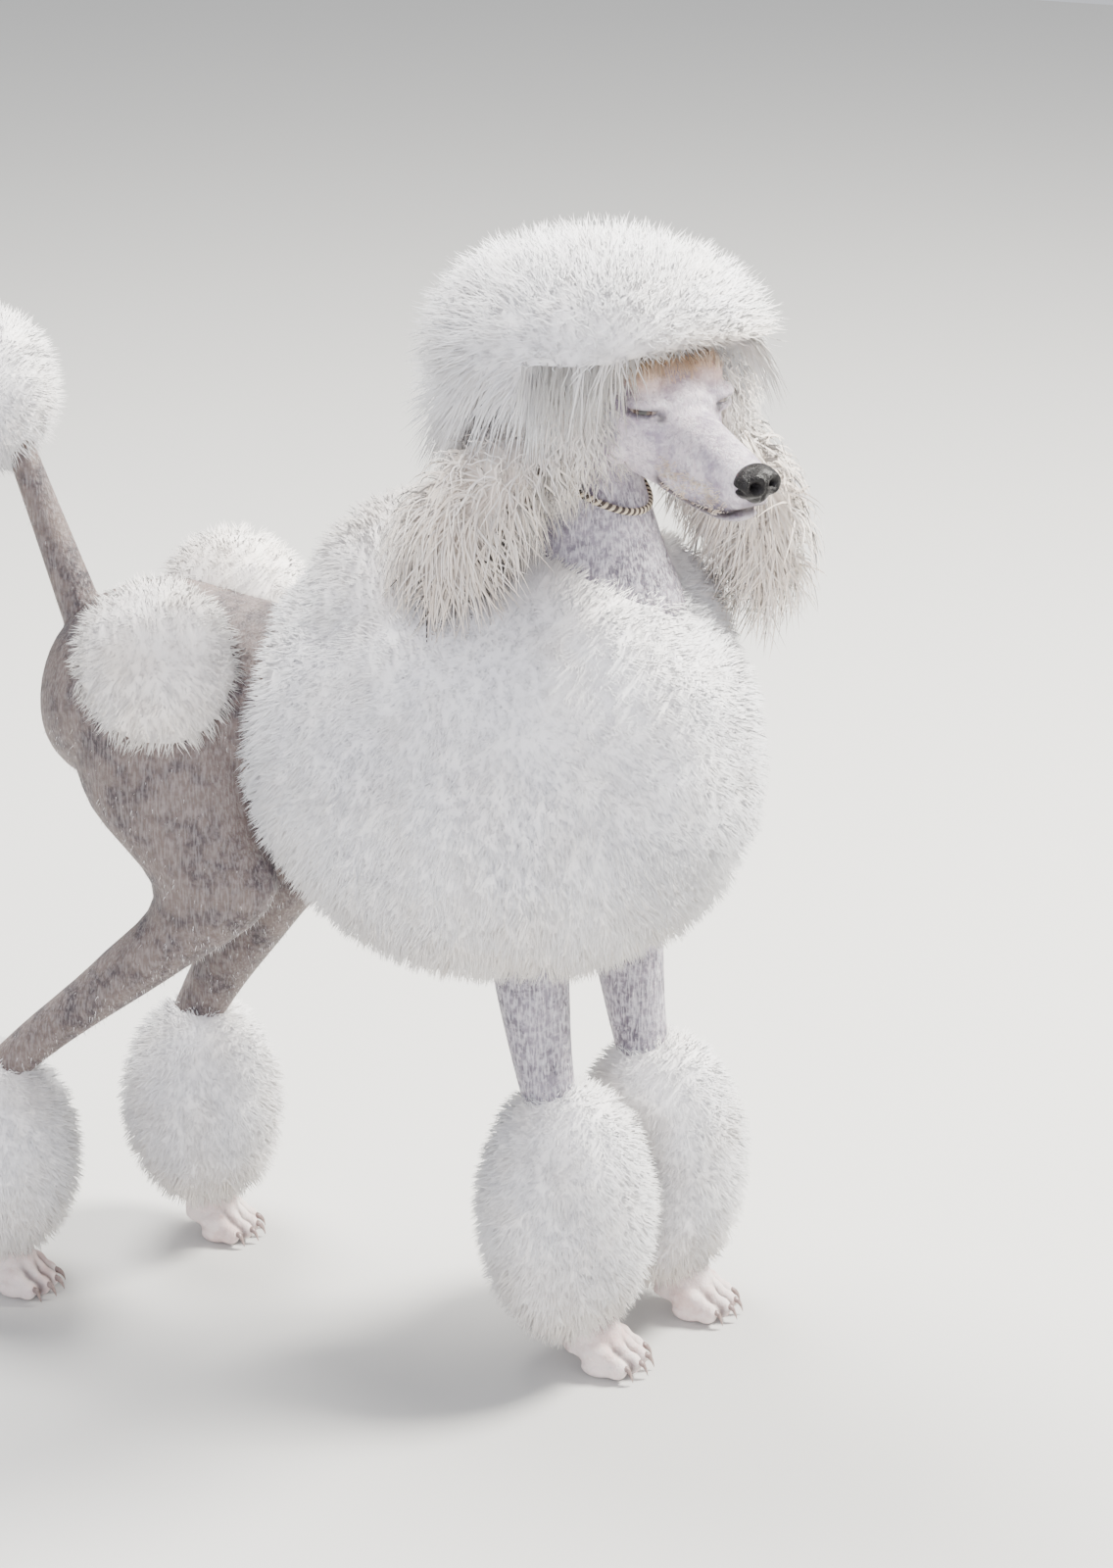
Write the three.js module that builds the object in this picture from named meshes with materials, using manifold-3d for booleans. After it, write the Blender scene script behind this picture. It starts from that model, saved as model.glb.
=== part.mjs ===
// A standard poodle in show trim, standing, life size, in millimetres with +Z up.
// The dog faces -Y and its left side is at +X. The floor is at Z = 0.
// Each place below is given as forward, left and up from the middle of the fore feet.
import * as THREE from 'three';
import { mergeVertices } from 'three/addons/utils/BufferGeometryUtils.js';
import Module from 'manifold-3d';

const wasm = await Module();
wasm.setup();

// Driving dimensions of the body.
const GAP = 0.45;
const FORE_STANCE = 52;
const FORE_STEP = 18;
const HIND_STEP = { left: -385, right: -495 };
const HIND_PLACE = { left: 22, right: -118 };
const LOIN_SWING = 0.1;
const SKULL = { forward: -5, left: -8, up: 760 };
const HEAD_YAW = THREE.MathUtils.degToRad(35);
const HEAD_PITCH = THREE.MathUtils.degToRad(6);
const EYE = { forward: 41, aside: 29, up: 15, radius: 11 };
const COLLAR = { forward: -56, up: 710, halfWidth: 47, halfDepth: 59, tube: 2.6, tilt: 0.55 };
const EAR_TOP = 768;
const NAPE_TOP = 738;
const COAT_SPLIT = -322;

// Driving dimensions of the coat.
const CLUMP_REACH = 1.03;
const MANE_DEPTH = 54;
const TOPKNOT_DEPTH = 46;
const BRACELET_DEPTH = 30;
const ROSETTE_DEPTH = 28;
const POMPOM_DEPTH = 30;

const HIND_SCALE = 0.92;

const SIDES = { left: 1, right: -1 };

function place(forward, left, up) {
  return new THREE.Vector3(left, -forward, up);
}

// The middle of the back swings to the right toward the hips.
function midline(forward) {
  return forward * LOIN_SWING;
}

// A seeded random number source, so that the coat is the same each time.
function seeded(seed) {
  let state = seed;
  return () => {
    state = (state + 0x6d2b79f5) | 0;
    let t = Math.imul(state ^ (state >>> 15), 1 | state);
    t = (t + Math.imul(t ^ (t >>> 7), 61 | t)) ^ t;
    return ((t ^ (t >>> 14)) >>> 0) / 4294967296;
  };
}

function solid(geometry) {
  geometry.deleteAttribute('normal');
  geometry.deleteAttribute('uv');
  const merged = mergeVertices(geometry, 1e-4);
  return new wasm.Manifold(new wasm.Mesh({
    numProp: 3,
    vertProperties: new Float32Array(merged.attributes.position.array),
    triVerts: new Uint32Array(merged.index.array),
  }));
}

function join(pieces) {
  return pieces.reduce((whole, piece) => whole.add(piece));
}

function cut(whole, pieces) {
  return pieces.reduce((rest, piece) => rest.subtract(piece), whole);
}

function ball(centre, radii, across = 12, rings = 8, turn = new THREE.Quaternion()) {
  const geometry = new THREE.SphereGeometry(1, across, rings);
  geometry.rotateX(Math.PI / 2);
  geometry.applyMatrix4(new THREE.Matrix4().compose(centre, turn, radii));
  return solid(geometry);
}

// A box that covers everything on one side of a level or upright plane.
function halfSpace(axis, from, sign) {
  const size = 4000;
  const geometry = new THREE.BoxGeometry(size, size, size);
  const centre = new THREE.Vector3();
  centre[axis] = from + (sign * size) / 2;
  geometry.translate(centre.x, centre.y, centre.z);
  return solid(geometry);
}

// A body through stations: each has a centre and the half sizes of its ring along two directions.
function loft(stations, across, through, sides, steps, grow = 0) {
  const centres = new THREE.CatmullRomCurve3(stations.map((s) => s.at));
  const sizes = new THREE.CatmullRomCurve3(stations.map((s) => new THREE.Vector3(s.wide, s.deep, 0)));
  const path = stations[stations.length - 1].at.clone().sub(stations[0].at);
  const facing = across.dot(path.negate().cross(through)) > 0 ? 1 : -1;
  const geometry = new THREE.CylinderGeometry(1, 1, 1, sides, steps);
  const position = geometry.attributes.position;
  for (let i = 0; i < position.count; i += 1) {
    const t = 0.5 - position.getY(i);
    const size = sizes.getPoint(t);
    const at = centres.getPoint(t);
    at.addScaledVector(across, position.getX(i) * (size.x + grow));
    at.addScaledVector(through, position.getZ(i) * (size.y + grow) * facing);
    position.setXYZ(i, at.x, at.y, at.z);
  }
  return solid(geometry);
}

// One rounded clump of curls, an egg on the line from its root to its tip.
function clump(root, tip, halfWidth) {
  const geometry = new THREE.IcosahedronGeometry(1, 0);
  const along = tip.clone().sub(root);
  const turn = new THREE.Quaternion().setFromUnitVectors(upAxis, along.clone().normalize());
  const middle = root.clone().addScaledVector(along, 0.5);
  const size = new THREE.Vector3(halfWidth, halfWidth, along.length() / 2);
  geometry.rotateZ(root.x + tip.y);
  geometry.applyMatrix4(new THREE.Matrix4().compose(middle, turn, size));
  return solid(geometry);
}

// Directions spread evenly over a ball, by the golden angle.
function spread(count, random) {
  const turn = Math.PI * (3 - Math.sqrt(5));
  return Array.from({ length: count }, (_, i) => {
    const up = 1 - (2 * i + 1) / count;
    const flat = Math.sqrt(1 - up * up);
    const angle = i * turn + (random() - 0.5) * 0.25;
    return new THREE.Vector3(flat * Math.cos(angle), flat * Math.sin(angle), up);
  });
}

// Whether a point lies inside a ball whose radii are made smaller by a margin.
function inside(point, b, margin) {
  const size = b.radii.clone().addScalar(-margin);
  return point.clone().sub(b.centre).divide(size).length() < 1;
}

// A coat of rounded clumps on a core at half its depth.
// Each ball is the outline of the coat, out to the tips of its clumps.
function fleece(balls, coat) {
  const random = seeded(coat.seed);
  const areas = balls.map((b) => (b.radii.x * b.radii.y + b.radii.y * b.radii.z + b.radii.z * b.radii.x));
  const total = areas.reduce((sum, area) => sum + area);
  const pieces = balls.map((b) => ball(b.centre, b.radii.clone().addScalar(-coat.depth / 2), 9, 6));
  balls.forEach((b, i) => {
    spread(Math.round((coat.count * areas[i]) / total), random).forEach((direction) => {
      const tip = direction.clone().multiply(b.radii).multiplyScalar(CLUMP_REACH).add(b.centre);
      const hidden = balls.some((other, k) => k !== i && inside(tip, other, coat.depth * 0.3));
      const root = direction.clone().multiply(b.radii.clone().addScalar(-coat.depth * 1.3)).add(b.centre);
      const halfWidth = coat.halfWidth * (0.88 + 0.3 * random());
      if (!hidden) {
        pieces.push(clump(root, tip, halfWidth));
      }
    });
  });
  return join(pieces);
}

const forwardAxis = place(1, 0, 0);
const leftAxis = place(0, 1, 0);
const upAxis = place(0, 0, 1);

// The head has its own directions: along the muzzle, to the left and up.
const headTurn = new THREE.Quaternion()
  .setFromAxisAngle(upAxis, -HEAD_YAW)
  .multiply(new THREE.Quaternion().setFromAxisAngle(leftAxis, HEAD_PITCH));
const headForward = forwardAxis.clone().applyQuaternion(headTurn);
const headLeft = leftAxis.clone().applyQuaternion(headTurn);
const headUp = upAxis.clone().applyQuaternion(headTurn);

function onHead(forward, left, up) {
  return place(SKULL.forward, SKULL.left, SKULL.up)
    .addScaledVector(headForward, forward)
    .addScaledVector(headLeft, left)
    .addScaledVector(headUp, up);
}

function headLoft(rows, sides, steps, grow = 0) {
  const stations = rows.map(([forward, up, wide, deep]) => ({ at: onHead(forward, 0, up), wide, deep }));
  return loft(stations, headLeft, headUp, sides, steps, grow);
}

// Stations of the skull, upper muzzle and lower jaw: forward, up, half width, half height.
const SKULL_ROWS = [
  [-66, 2, 20, 18], [-50, 2, 36, 35], [-20, 2, 47, 46], [10, 0, 48, 47], [36, -2, 40, 39], [56, -6, 30, 30],
];
const MUZZLE_ROWS = [
  [30, -8, 34, 33], [57, -10, 28, 27], [89, -13, 24, 24], [120, -16, 21, 20], [134, -17, 17, 16],
];
const JAW_ROWS = [[8, -32, 32, 16], [53, -37, 22, 12], [93, -40, 17, 8], [120, -39, 14, 6], [128, -38, 9, 4]];

function headCore(grow = 0) {
  const cheeks = [1, -1].map((s) => ball(
    onHead(-2, s * 34, -14),
    new THREE.Vector3(16 + grow, 36 + grow, 28 + grow), 8, 6, headTurn,
  ));
  return join([
    headLoft(SKULL_ROWS, 14, 7, grow),
    headLoft(MUZZLE_ROWS, 12, 5, grow),
    headLoft(JAW_ROWS, 10, 5, grow),
    ...cheeks,
  ]);
}

function eyeCentre(side) {
  return onHead(EYE.forward, SIDES[side] * EYE.aside, EYE.up);
}

// Which way each eye looks: forward and to its own side.
function eyeTurn(side) {
  const aside = new THREE.Quaternion().setFromAxisAngle(upAxis, SIDES[side] * 0.75);
  return headTurn.clone().multiply(aside);
}

function eyeBall(side, grow = 0) {
  const r = EYE.radius + grow;
  return ball(eyeCentre(side), new THREE.Vector3(r, r, r), 12, 8, eyeTurn(side));
}

// The lids close over the eye to a narrow almond slit.
function lidSlit(side) {
  const half = 11;
  const rise = 2.6;
  const almond = new THREE.Shape();
  almond.moveTo(-half, 0);
  almond.quadraticCurveTo(0, rise * 2, half, 0);
  almond.quadraticCurveTo(0, -rise * 2, -half, 0);
  const geometry = new THREE.ExtrudeGeometry(almond, { depth: 30, bevelEnabled: false, curveSegments: 3 });
  geometry.rotateX(Math.PI / 2);
  geometry.applyQuaternion(eyeTurn(side));
  const centre = eyeCentre(side);
  geometry.translate(centre.x, centre.y, centre.z);
  return solid(geometry);
}

function lids(side) {
  const r = EYE.radius;
  return ball(eyeCentre(side), new THREE.Vector3(r + 4.5, r + 3, r + 2), 12, 8, eyeTurn(side));
}

function brow(side) {
  return ball(onHead(36, SIDES[side] * 27, 31), new THREE.Vector3(13, 15, 8), 8, 6, eyeTurn(side));
}

// The line of the mouth runs from under the nose back to the corner of the lips.
function mouthBand(halfHeight) {
  const line = new THREE.CatmullRomCurve3([
    new THREE.Vector3(139, -28, 0), new THREE.Vector3(121, -37, 0), new THREE.Vector3(105, -41, 0),
    new THREE.Vector3(85, -42, 0), new THREE.Vector3(62, -40, 0), new THREE.Vector3(50, -37, 0),
  ]);
  const points = line.getPoints(6);
  const outline = new THREE.Shape([
    ...points.map((p) => new THREE.Vector2(p.x, p.y + halfHeight)),
    ...points.slice().reverse().map((p) => new THREE.Vector2(p.x, p.y - halfHeight)),
  ]);
  const geometry = new THREE.ExtrudeGeometry(outline, { depth: 120, bevelEnabled: false });
  geometry.translate(0, 0, -60);
  const basis = new THREE.Matrix4().makeBasis(headForward, headUp, headForward.clone().cross(headUp));
  geometry.applyMatrix4(basis);
  const origin = onHead(0, 0, 0);
  geometry.translate(origin.x, origin.y, origin.z);
  return solid(geometry);
}

// Nose leather with two comma nostrils, at the end of the muzzle.
const NOSE = { forward: 136, up: -10, halfWidth: 17, halfHeight: 13, halfLength: 12 };

function noseBody(grow = 0) {
  const n = NOSE;
  return ball(
    onHead(n.forward, 0, n.up),
    new THREE.Vector3(n.halfWidth + grow, n.halfLength + grow, n.halfHeight + grow), 12, 8, headTurn,
  );
}

function nose() {
  const nostrils = [1, -1].flatMap((s) => [
    ball(onHead(NOSE.forward + 9, s * 8, NOSE.up), new THREE.Vector3(4, 9, 3.4), 8, 4, headTurn),
    ball(onHead(NOSE.forward + 4, s * 15, NOSE.up - 4), new THREE.Vector3(7, 6, 1.8), 6, 4, headTurn),
  ]);
  return cut(noseBody(), nostrils);
}

function head() {
  const core = join([headCore(), lids('left'), lids('right'), brow('left'), brow('right')]);
  const lips = mouthBand(4).intersect(join([headLoft(MUZZLE_ROWS, 12, 5, 1.4), headLoft(JAW_ROWS, 10, 5, 1.4)]));
  const groove = mouthBand(0.9).subtract(join([headLoft(MUZZLE_ROWS, 12, 5, -2.6), headLoft(JAW_ROWS, 10, 5, -2.6)]));
  return cut(join([core, lips]), [
    groove, noseBody(GAP), eyeBall('left', GAP), eyeBall('right', GAP), lidSlit('left'), lidSlit('right'),
    collar(GAP),
  ]);
}

// Neck and throat, down to the shaved point at the top of the chest.
function neck(grow = 0) {
  return loft([
    { at: place(-66, -2, 742), wide: 40, deep: 44 },
    { at: place(-60, -2, 700), wide: 44, deep: 50 },
    { at: place(-54, 0, 650), wide: 50, deep: 60 },
    { at: place(-47, 0, 600), wide: 58, deep: 72 },
    { at: place(-50, 0, 560), wide: 60, deep: 66 },
  ], leftAxis, forwardAxis, 12, 5, grow);
}

// A fine round show collar close behind the jaw, higher at the nape.
function collar(grow = 0) {
  const geometry = new THREE.TorusGeometry(COLLAR.halfWidth, COLLAR.tube + grow, 5, 24);
  geometry.scale(1, COLLAR.halfDepth / COLLAR.halfWidth, 1);
  geometry.rotateX(COLLAR.tilt);
  const centre = place(COLLAR.forward, -2, COLLAR.up);
  geometry.translate(centre.x, centre.y, centre.z);
  return solid(geometry);
}

// Loin, croup and rump behind the mane.
function torso(grow = 0) {
  const rows = [
    [-258, 492, 74, 84], [-290, 498, 70, 78], [-320, 504, 72, 76], [-372, 508, 82, 80], [-420, 502, 78, 76],
    [-452, 497, 56, 56], [-464, 496, 30, 30],
  ];
  const stations = rows.map(([forward, up, wide, deep]) => ({
    at: place(forward, midline(forward), up), wide, deep,
  }));
  return loft(stations, leftAxis, upAxis, 14, 9, grow);
}

function foreFoot(side) {
  return { forward: SIDES[side] * FORE_STEP, left: SIDES[side] * FORE_STANCE };
}

function hindFoot(side) {
  return { forward: HIND_STEP[side], left: HIND_PLACE[side] };
}

function foreleg(side, grow = 0) {
  const foot = foreFoot(side);
  const back = foot.forward;
  return loft([
    { at: place(back - 60, foot.left, 372), wide: 27, deep: 36 },
    { at: place(back - 57, foot.left, 320), wide: 25, deep: 31 },
    { at: place(back - 48, foot.left, 260), wide: 22, deep: 25 },
    { at: place(back - 37, foot.left, 200), wide: 20, deep: 21 },
    { at: place(back - 28, foot.left, 160), wide: 19, deep: 20 },
  ], leftAxis, forwardAxis, 12, 6, grow);
}

// Thigh, stifle and second thigh, down into the bracelet over the hock.
function hindleg(side, grow = 0) {
  const foot = hindFoot(side);
  const hipLeft = midline(-380) + SIDES[side] * 46;
  const mix = (share) => THREE.MathUtils.lerp(hipLeft, foot.left, share);
  const stifle = foot.forward * 0.1 - 265;
  const hock = foot.forward - 28;
  const shank = (share) => THREE.MathUtils.lerp(stifle, hock, share);
  return loft([
    { at: place(-385, hipLeft, 560), wide: 26, deep: 40 },
    { at: place(-368, hipLeft, 500), wide: 40, deep: 70 },
    { at: place(-350, mix(0.15), 430), wide: 41, deep: 70 },
    { at: place(stifle, mix(0.35), 365), wide: 34, deep: 49 },
    { at: place(shank(0.3), mix(0.6), 300), wide: 26, deep: 36 },
    { at: place(shank(0.7), mix(0.85), 228), wide: 20, deep: 27 },
    { at: place(shank(0.94), mix(0.95), 176), wide: 17, deep: 22 },
  ], leftAxis, forwardAxis, 12, 10, grow);
}

// Pastern and foot, from inside the bracelet down to the sole.
function instep(foot, scale, grow = 0) {
  return loft([
    { at: place(foot.forward - 16, foot.left, 96 + grow), wide: 15 * scale, deep: 16 * scale },
    { at: place(foot.forward - 13, foot.left, 60), wide: 16 * scale, deep: 18 * scale },
    { at: place(foot.forward - 4, foot.left, 30), wide: 21 * scale, deep: 27 * scale },
    { at: place(foot.forward - 2, foot.left, 12), wide: 22 * scale, deep: 29 * scale },
    { at: place(foot.forward - 4, foot.left, -4), wide: 19 * scale, deep: 26 * scale },
  ], leftAxis, forwardAxis, 8, 6, grow);
}

// A shaved foot with four arched toes, their claws and a flat sole.
function paw(foot, scale) {
  const toes = [-1.5, -0.5, 0.5, 1.5].flatMap((step) => {
    const forward = foot.forward + scale * (30 - Math.abs(step) * 7);
    const left = foot.left + scale * step * 12.5;
    const size = new THREE.Vector3(7.5, 19, 13).multiplyScalar(scale);
    const toe = ball(place(forward - 6 * scale, left, 11 * scale), size, 6, 4);
    const claw = new THREE.ConeGeometry(3.2 * scale, 15 * scale, 4);
    claw.rotateX(Math.PI + 0.7);
    const tip = place(forward + 13 * scale, left, 8 * scale);
    claw.translate(tip.x, tip.y, tip.z);
    return [toe, solid(claw)];
  });
  return cut(join([instep(foot, scale), ...toes]), [halfSpace('z', 0, -1)]);
}

// A bracelet of coat round the pastern or hock, an egg that is flat on its inner face.
function bracelet(foot, back, size, count, seed) {
  const centre = place(foot.forward - back, foot.left, foot.bottom + size.up);
  const balls = [{ centre, radii: new THREE.Vector3(size.aside, size.along, size.up) }];
  return fleece(balls, { depth: BRACELET_DEPTH, halfWidth: 27, count, seed });
}

const BRACELET = {
  front: { aside: 69, along: 72, up: 112, bottom: 20, back: 28, count: 11 },
  rear: { aside: 64, along: 68, up: 96, bottom: 28, back: 10, count: 9 },
};

function bracelets(kind, side) {
  const b = BRACELET[kind];
  const foot = kind === 'front' ? foreFoot(side) : hindFoot(side);
  const shape = bracelet({ ...foot, bottom: b.bottom }, b.back, b, b.count, SIDES[side] + 7);
  const leg = kind === 'front' ? foreleg(side, GAP) : hindleg(side, GAP);
  const scale = kind === 'front' ? 1 : HIND_SCALE;
  const between = kind === 'front' ? 0 : (HIND_PLACE.left + HIND_PLACE.right) / 2;
  const other = halfSpace('x', between + (SIDES[side] * GAP) / 2, -SIDES[side]);
  return cut(shape, [leg, instep(foot, scale, GAP), other]);
}

// Ear leather: a long cupped flap, hung from beside the skull.
const EAR = {
  left: [[-6, 45, 758], [24, 70, 718], [46, 88, 664], [52, 92, 612]],
  right: [[-52, -52, 758], [-82, -76, 732], [-112, -92, 690], [-126, -98, 644]],
};

function earLeather(side, grow = 0) {
  const sizes = [[20, 8], [36, 10], [38, 9], [20, 5]];
  const stations = EAR[side].map(([forward, left, up], i) => ({
    at: place(forward, left, up), wide: sizes[i][0], deep: sizes[i][1],
  }));
  const flap = loft(stations, forwardAxis, leftAxis, 10, 4, grow);
  if (grow > 0) {
    return flap;
  }
  const [forward, left, up] = EAR[side][1];
  const cup = ball(
    place(forward, left - SIDES[side] * 9, up - 6),
    new THREE.Vector3(10, 22, 30), 8, 6,
  );
  return cut(flap, [cup]);
}

// Flat tapered locks that hang from the leather, bend along their length and overlap.
function earLocks(side, grow = 0) {
  const random = seeded(side === 'left' ? 21 : 22);
  const path = new THREE.CatmullRomCurve3(EAR[side].map(([f, l, u]) => place(f, l, u)));
  const locks = [];
  const count = 7;
  for (let i = 0; i < count; i += 1) {
    const share = (i + 0.5) / count;
    const root = path.getPoint(0.12 + 0.6 * random());
    const fan = (share - 0.5) * 2;
    root.add(place(fan * 30, SIDES[side] * 2, 0));
    const length = 80 + 30 * random();
    const sway = (random() - 0.5) * 12;
    const lean = side === 'left' ? 10 : -16;
    const points = [0, 0.33, 0.66, 1].map((t) => root.clone().add(place(
      t * (fan * 16 + lean) + Math.sin(t * 5) * sway * 0.5,
      SIDES[side] * (7 * Math.sin(t * 3) + 5 * t), -t * length,
    )));
    const wide = [12, 20, 17, 4];
    const stations = points.map((at, k) => ({ at, wide: wide[k] + 2 * random(), deep: k === 3 ? 2 : 5 }));
    locks.push(loft(stations, forwardAxis, leftAxis, 4, 4, grow));
  }
  return locks;
}

// The whole ear, or the room that it takes among the coat round it.
function ear(side, grow = 0) {
  return join([earLeather(side, grow), ...earLocks(side, grow)]);
}

function onSides(make) {
  return Object.keys(SIDES).map((side) => make(side));
}

// The balls of coat over the ribs, withers, nape and shoulders, round the shaved throat.
const MANE = [
  { centre: place(-120, midline(-120), 484), radii: new THREE.Vector3(168, 210, 184) },
  { centre: place(-170, midline(-170), 588), radii: new THREE.Vector3(112, 104, 92) },
  { centre: place(-112, 0, 636), radii: new THREE.Vector3(70, 74, 92) },
  { centre: place(-45, 62, 556), radii: new THREE.Vector3(64, 88, 92) },
  { centre: place(-58, -62, 556), radii: new THREE.Vector3(64, 88, 92) },
];

function maneOutline(grow) {
  return join(MANE.map((b) => ball(b.centre, b.radii.clone().addScalar(grow), 16, 10)));
}

// The mane, cut off in a clean line behind the last rib.
function mane() {
  const rear = halfSpace('y', -COAT_SPLIT - GAP / 2, 1);
  const shape = fleece(MANE, { depth: MANE_DEPTH, halfWidth: 47, count: 42, seed: 5 });
  return cut(shape, [
    neck(GAP), torso(GAP), rear, headCore(GAP), collar(GAP), halfSpace('z', NAPE_TOP, 1),
    ...onSides((side) => foreleg(side, GAP)), ...onSides((side) => hindleg(side, GAP)),
  ]);
}

// Hair of the topknot, sprayed up and back from the brow.
function topknot() {
  const balls = [
    { centre: place(-42, -2, 804), radii: new THREE.Vector3(116, 130, 84) },
    { centre: place(-112, 0, 772), radii: new THREE.Vector3(84, 62, 60) },
  ];
  const shape = fleece(balls, { depth: TOPKNOT_DEPTH, halfWidth: 36, count: 18, seed: 9 });
  const visor = new THREE.BoxGeometry(400, 300, 200);
  visor.translate(0, -150, -100);
  visor.rotateX(-0.36);
  visor.rotateZ(-HEAD_YAW);
  const edge = onHead(38, 0, 30);
  visor.translate(edge.x, edge.y, edge.z);
  const cheek = new THREE.BoxGeometry(400, 300, 100);
  const low = place(-110, 0, EAR_TOP + GAP / 2);
  cheek.translate(0, low.y - 150, low.z - 50);
  return cut(shape, [
    headCore(GAP), brow('left'), brow('right'), lids('left'), lids('right'), solid(visor), solid(cheek),
    halfSpace('z', NAPE_TOP + GAP, -1), collar(GAP), neck(GAP),
  ]);
}

function rosette(side) {
  const balls = [
    { centre: place(-352, midline(-352) + SIDES[side] * 64, 546), radii: new THREE.Vector3(60, 68, 70) },
  ];
  const shape = fleece(balls, { depth: ROSETTE_DEPTH, halfWidth: 27, count: 9, seed: 13 + SIDES[side] });
  const other = halfSpace('x', midline(-352) + (SIDES[side] * GAP) / 2, -SIDES[side]);
  const front = halfSpace('y', -COAT_SPLIT + GAP / 2, -1);
  return cut(shape, [torso(GAP), hindleg(side, GAP), other, front, tail(GAP)]);
}

const TAIL = { forward: -440, up: 545, length: 165, lean: 0.35 };

function tail(grow = 0) {
  const root = place(TAIL.forward, midline(TAIL.forward), TAIL.up);
  const end = place(
    TAIL.forward - TAIL.length * Math.sin(TAIL.lean),
    midline(TAIL.forward),
    TAIL.up + TAIL.length * Math.cos(TAIL.lean),
  );
  const middle = root.clone().lerp(end, 0.5);
  return loft([
    { at: root, wide: 17, deep: 19 }, { at: middle, wide: 14, deep: 15 }, { at: end, wide: 11, deep: 12 },
  ], leftAxis, forwardAxis, 12, 6, grow);
}

function pompom() {
  const centre = place(-518, midline(-440), 722);
  const balls = [{ centre, radii: new THREE.Vector3(58, 58, 66) }];
  return cut(fleece(balls, { depth: POMPOM_DEPTH, halfWidth: 28, count: 8, seed: 17 }), [tail(GAP)]);
}

function finish(colour, roughness) {
  return new THREE.MeshStandardMaterial({ color: colour, roughness, metalness: 0 });
}

const coatWhite = finish('#f1eff0', 0.9);
const coatCream = finish('#e2d5c4', 0.9);
const skinGrey = finish('#b3abb2', 0.8);
const faceGrey = finish('#c2b8bd', 0.75);
const noseBlack = finish('#1a1214', 0.4);
const eyeDark = finish('#1d1310', 0.12);
const chainDark = new THREE.MeshStandardMaterial({ color: '#6b5a50', roughness: 0.35, metalness: 0.8 });

const model = new THREE.Group();

// Each node keeps its largest closed surface.
function addNode(name, shape, material) {
  const largest = shape.decompose().sort((a, b) => b.volume() - a.volume())[0];
  const made = largest.getMesh();
  const geometry = new THREE.BufferGeometry();
  geometry.setAttribute('position', new THREE.BufferAttribute(made.vertProperties, 3));
  geometry.setIndex(new THREE.BufferAttribute(made.triVerts, 1));
  const mesh = new THREE.Mesh(geometry, material);
  mesh.name = name;
  model.add(mesh);
}

addNode('head', head(), faceGrey);
addNode('nose', nose(), noseBlack);
addNode('neck', cut(neck(), [headCore(GAP), collar(GAP)]), skinGrey);
addNode('collar', collar(), chainDark);
addNode('mane', mane(), coatWhite);
addNode('topknot', topknot(), coatCream);
addNode('torso', torso(), skinGrey);
addNode('tail', cut(tail(), [torso(GAP)]), skinGrey);
addNode('tail_pompom', pompom(), coatWhite);
Object.keys(SIDES).forEach((side) => {
  addNode(`eye_${side}`, eyeBall(side), eyeDark);
  addNode(`ear_${side}`, cut(ear(side), [headCore(GAP), lids(side), halfSpace('z', EAR_TOP - GAP / 2, 1),
    neck(GAP), collar(GAP), maneOutline(0)]), coatCream);
  addNode(`foreleg_${side}`, foreleg(side), skinGrey);
  addNode(`bracelet_front_${side}`, bracelets('front', side), coatWhite);
  addNode(`paw_front_${side}`, paw(foreFoot(side), 1), faceGrey);
  addNode(`hindleg_${side}`, cut(hindleg(side), [torso(GAP)]), skinGrey);
  addNode(`bracelet_rear_${side}`, bracelets('rear', side), coatWhite);
  addNode(`paw_rear_${side}`, paw(hindFoot(side), HIND_SCALE), faceGrey);
  addNode(`rosette_${side}`, rosette(side), coatWhite);
});

// The origin is under the middle of the whole dog.
const outline = new THREE.Box3().setFromObject(model);
const middle = outline.getCenter(new THREE.Vector3());
model.position.set(-middle.x, -middle.y, 0);

export default model;
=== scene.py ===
# %% [markdown]
# A standard poodle in show trim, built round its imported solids. The solids give the size and
# place of each form, and this lesson dresses them: one skin, then the coat lock by lock.

# %% Start from the frame
import math
import bpy
import numpy as np
from mathutils import Matrix, Vector, noise
from mathutils.kdtree import KDTree


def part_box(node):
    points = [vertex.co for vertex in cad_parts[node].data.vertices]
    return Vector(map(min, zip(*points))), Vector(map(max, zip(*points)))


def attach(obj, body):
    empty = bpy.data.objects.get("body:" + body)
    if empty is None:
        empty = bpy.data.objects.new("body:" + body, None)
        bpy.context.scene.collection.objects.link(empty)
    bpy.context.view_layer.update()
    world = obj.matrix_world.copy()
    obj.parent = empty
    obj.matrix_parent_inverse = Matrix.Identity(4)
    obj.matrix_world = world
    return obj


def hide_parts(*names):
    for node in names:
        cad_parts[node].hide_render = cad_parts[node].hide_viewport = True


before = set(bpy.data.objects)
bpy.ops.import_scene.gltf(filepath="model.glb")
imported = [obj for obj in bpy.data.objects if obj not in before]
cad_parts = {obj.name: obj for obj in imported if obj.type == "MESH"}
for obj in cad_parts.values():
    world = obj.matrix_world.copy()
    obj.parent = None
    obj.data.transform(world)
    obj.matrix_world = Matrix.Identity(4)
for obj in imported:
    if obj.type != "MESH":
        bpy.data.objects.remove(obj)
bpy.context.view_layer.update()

# %% [markdown]
# Every place is given in millimetres as forward, left and up from the middle of the fore feet.
# That point is found from the boxes of the two fore paws, so the looks follow the solids.

# %% Places on the dog
MM = 0.001
SIDES = {"left": 1.0, "right": -1.0}
TOES_AHEAD = 0.045
paw_boxes = [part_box(f"paw_front_{side}") for side in SIDES]
origin_x = sum(b[0][0] + b[1][0] for b in paw_boxes) / 4
origin_y = sum(b[0][1] for b in paw_boxes) / 2 + TOES_AHEAD


def place(forward, left, up):
    return np.array([origin_x + left * MM, origin_y - forward * MM, up * MM])


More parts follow.
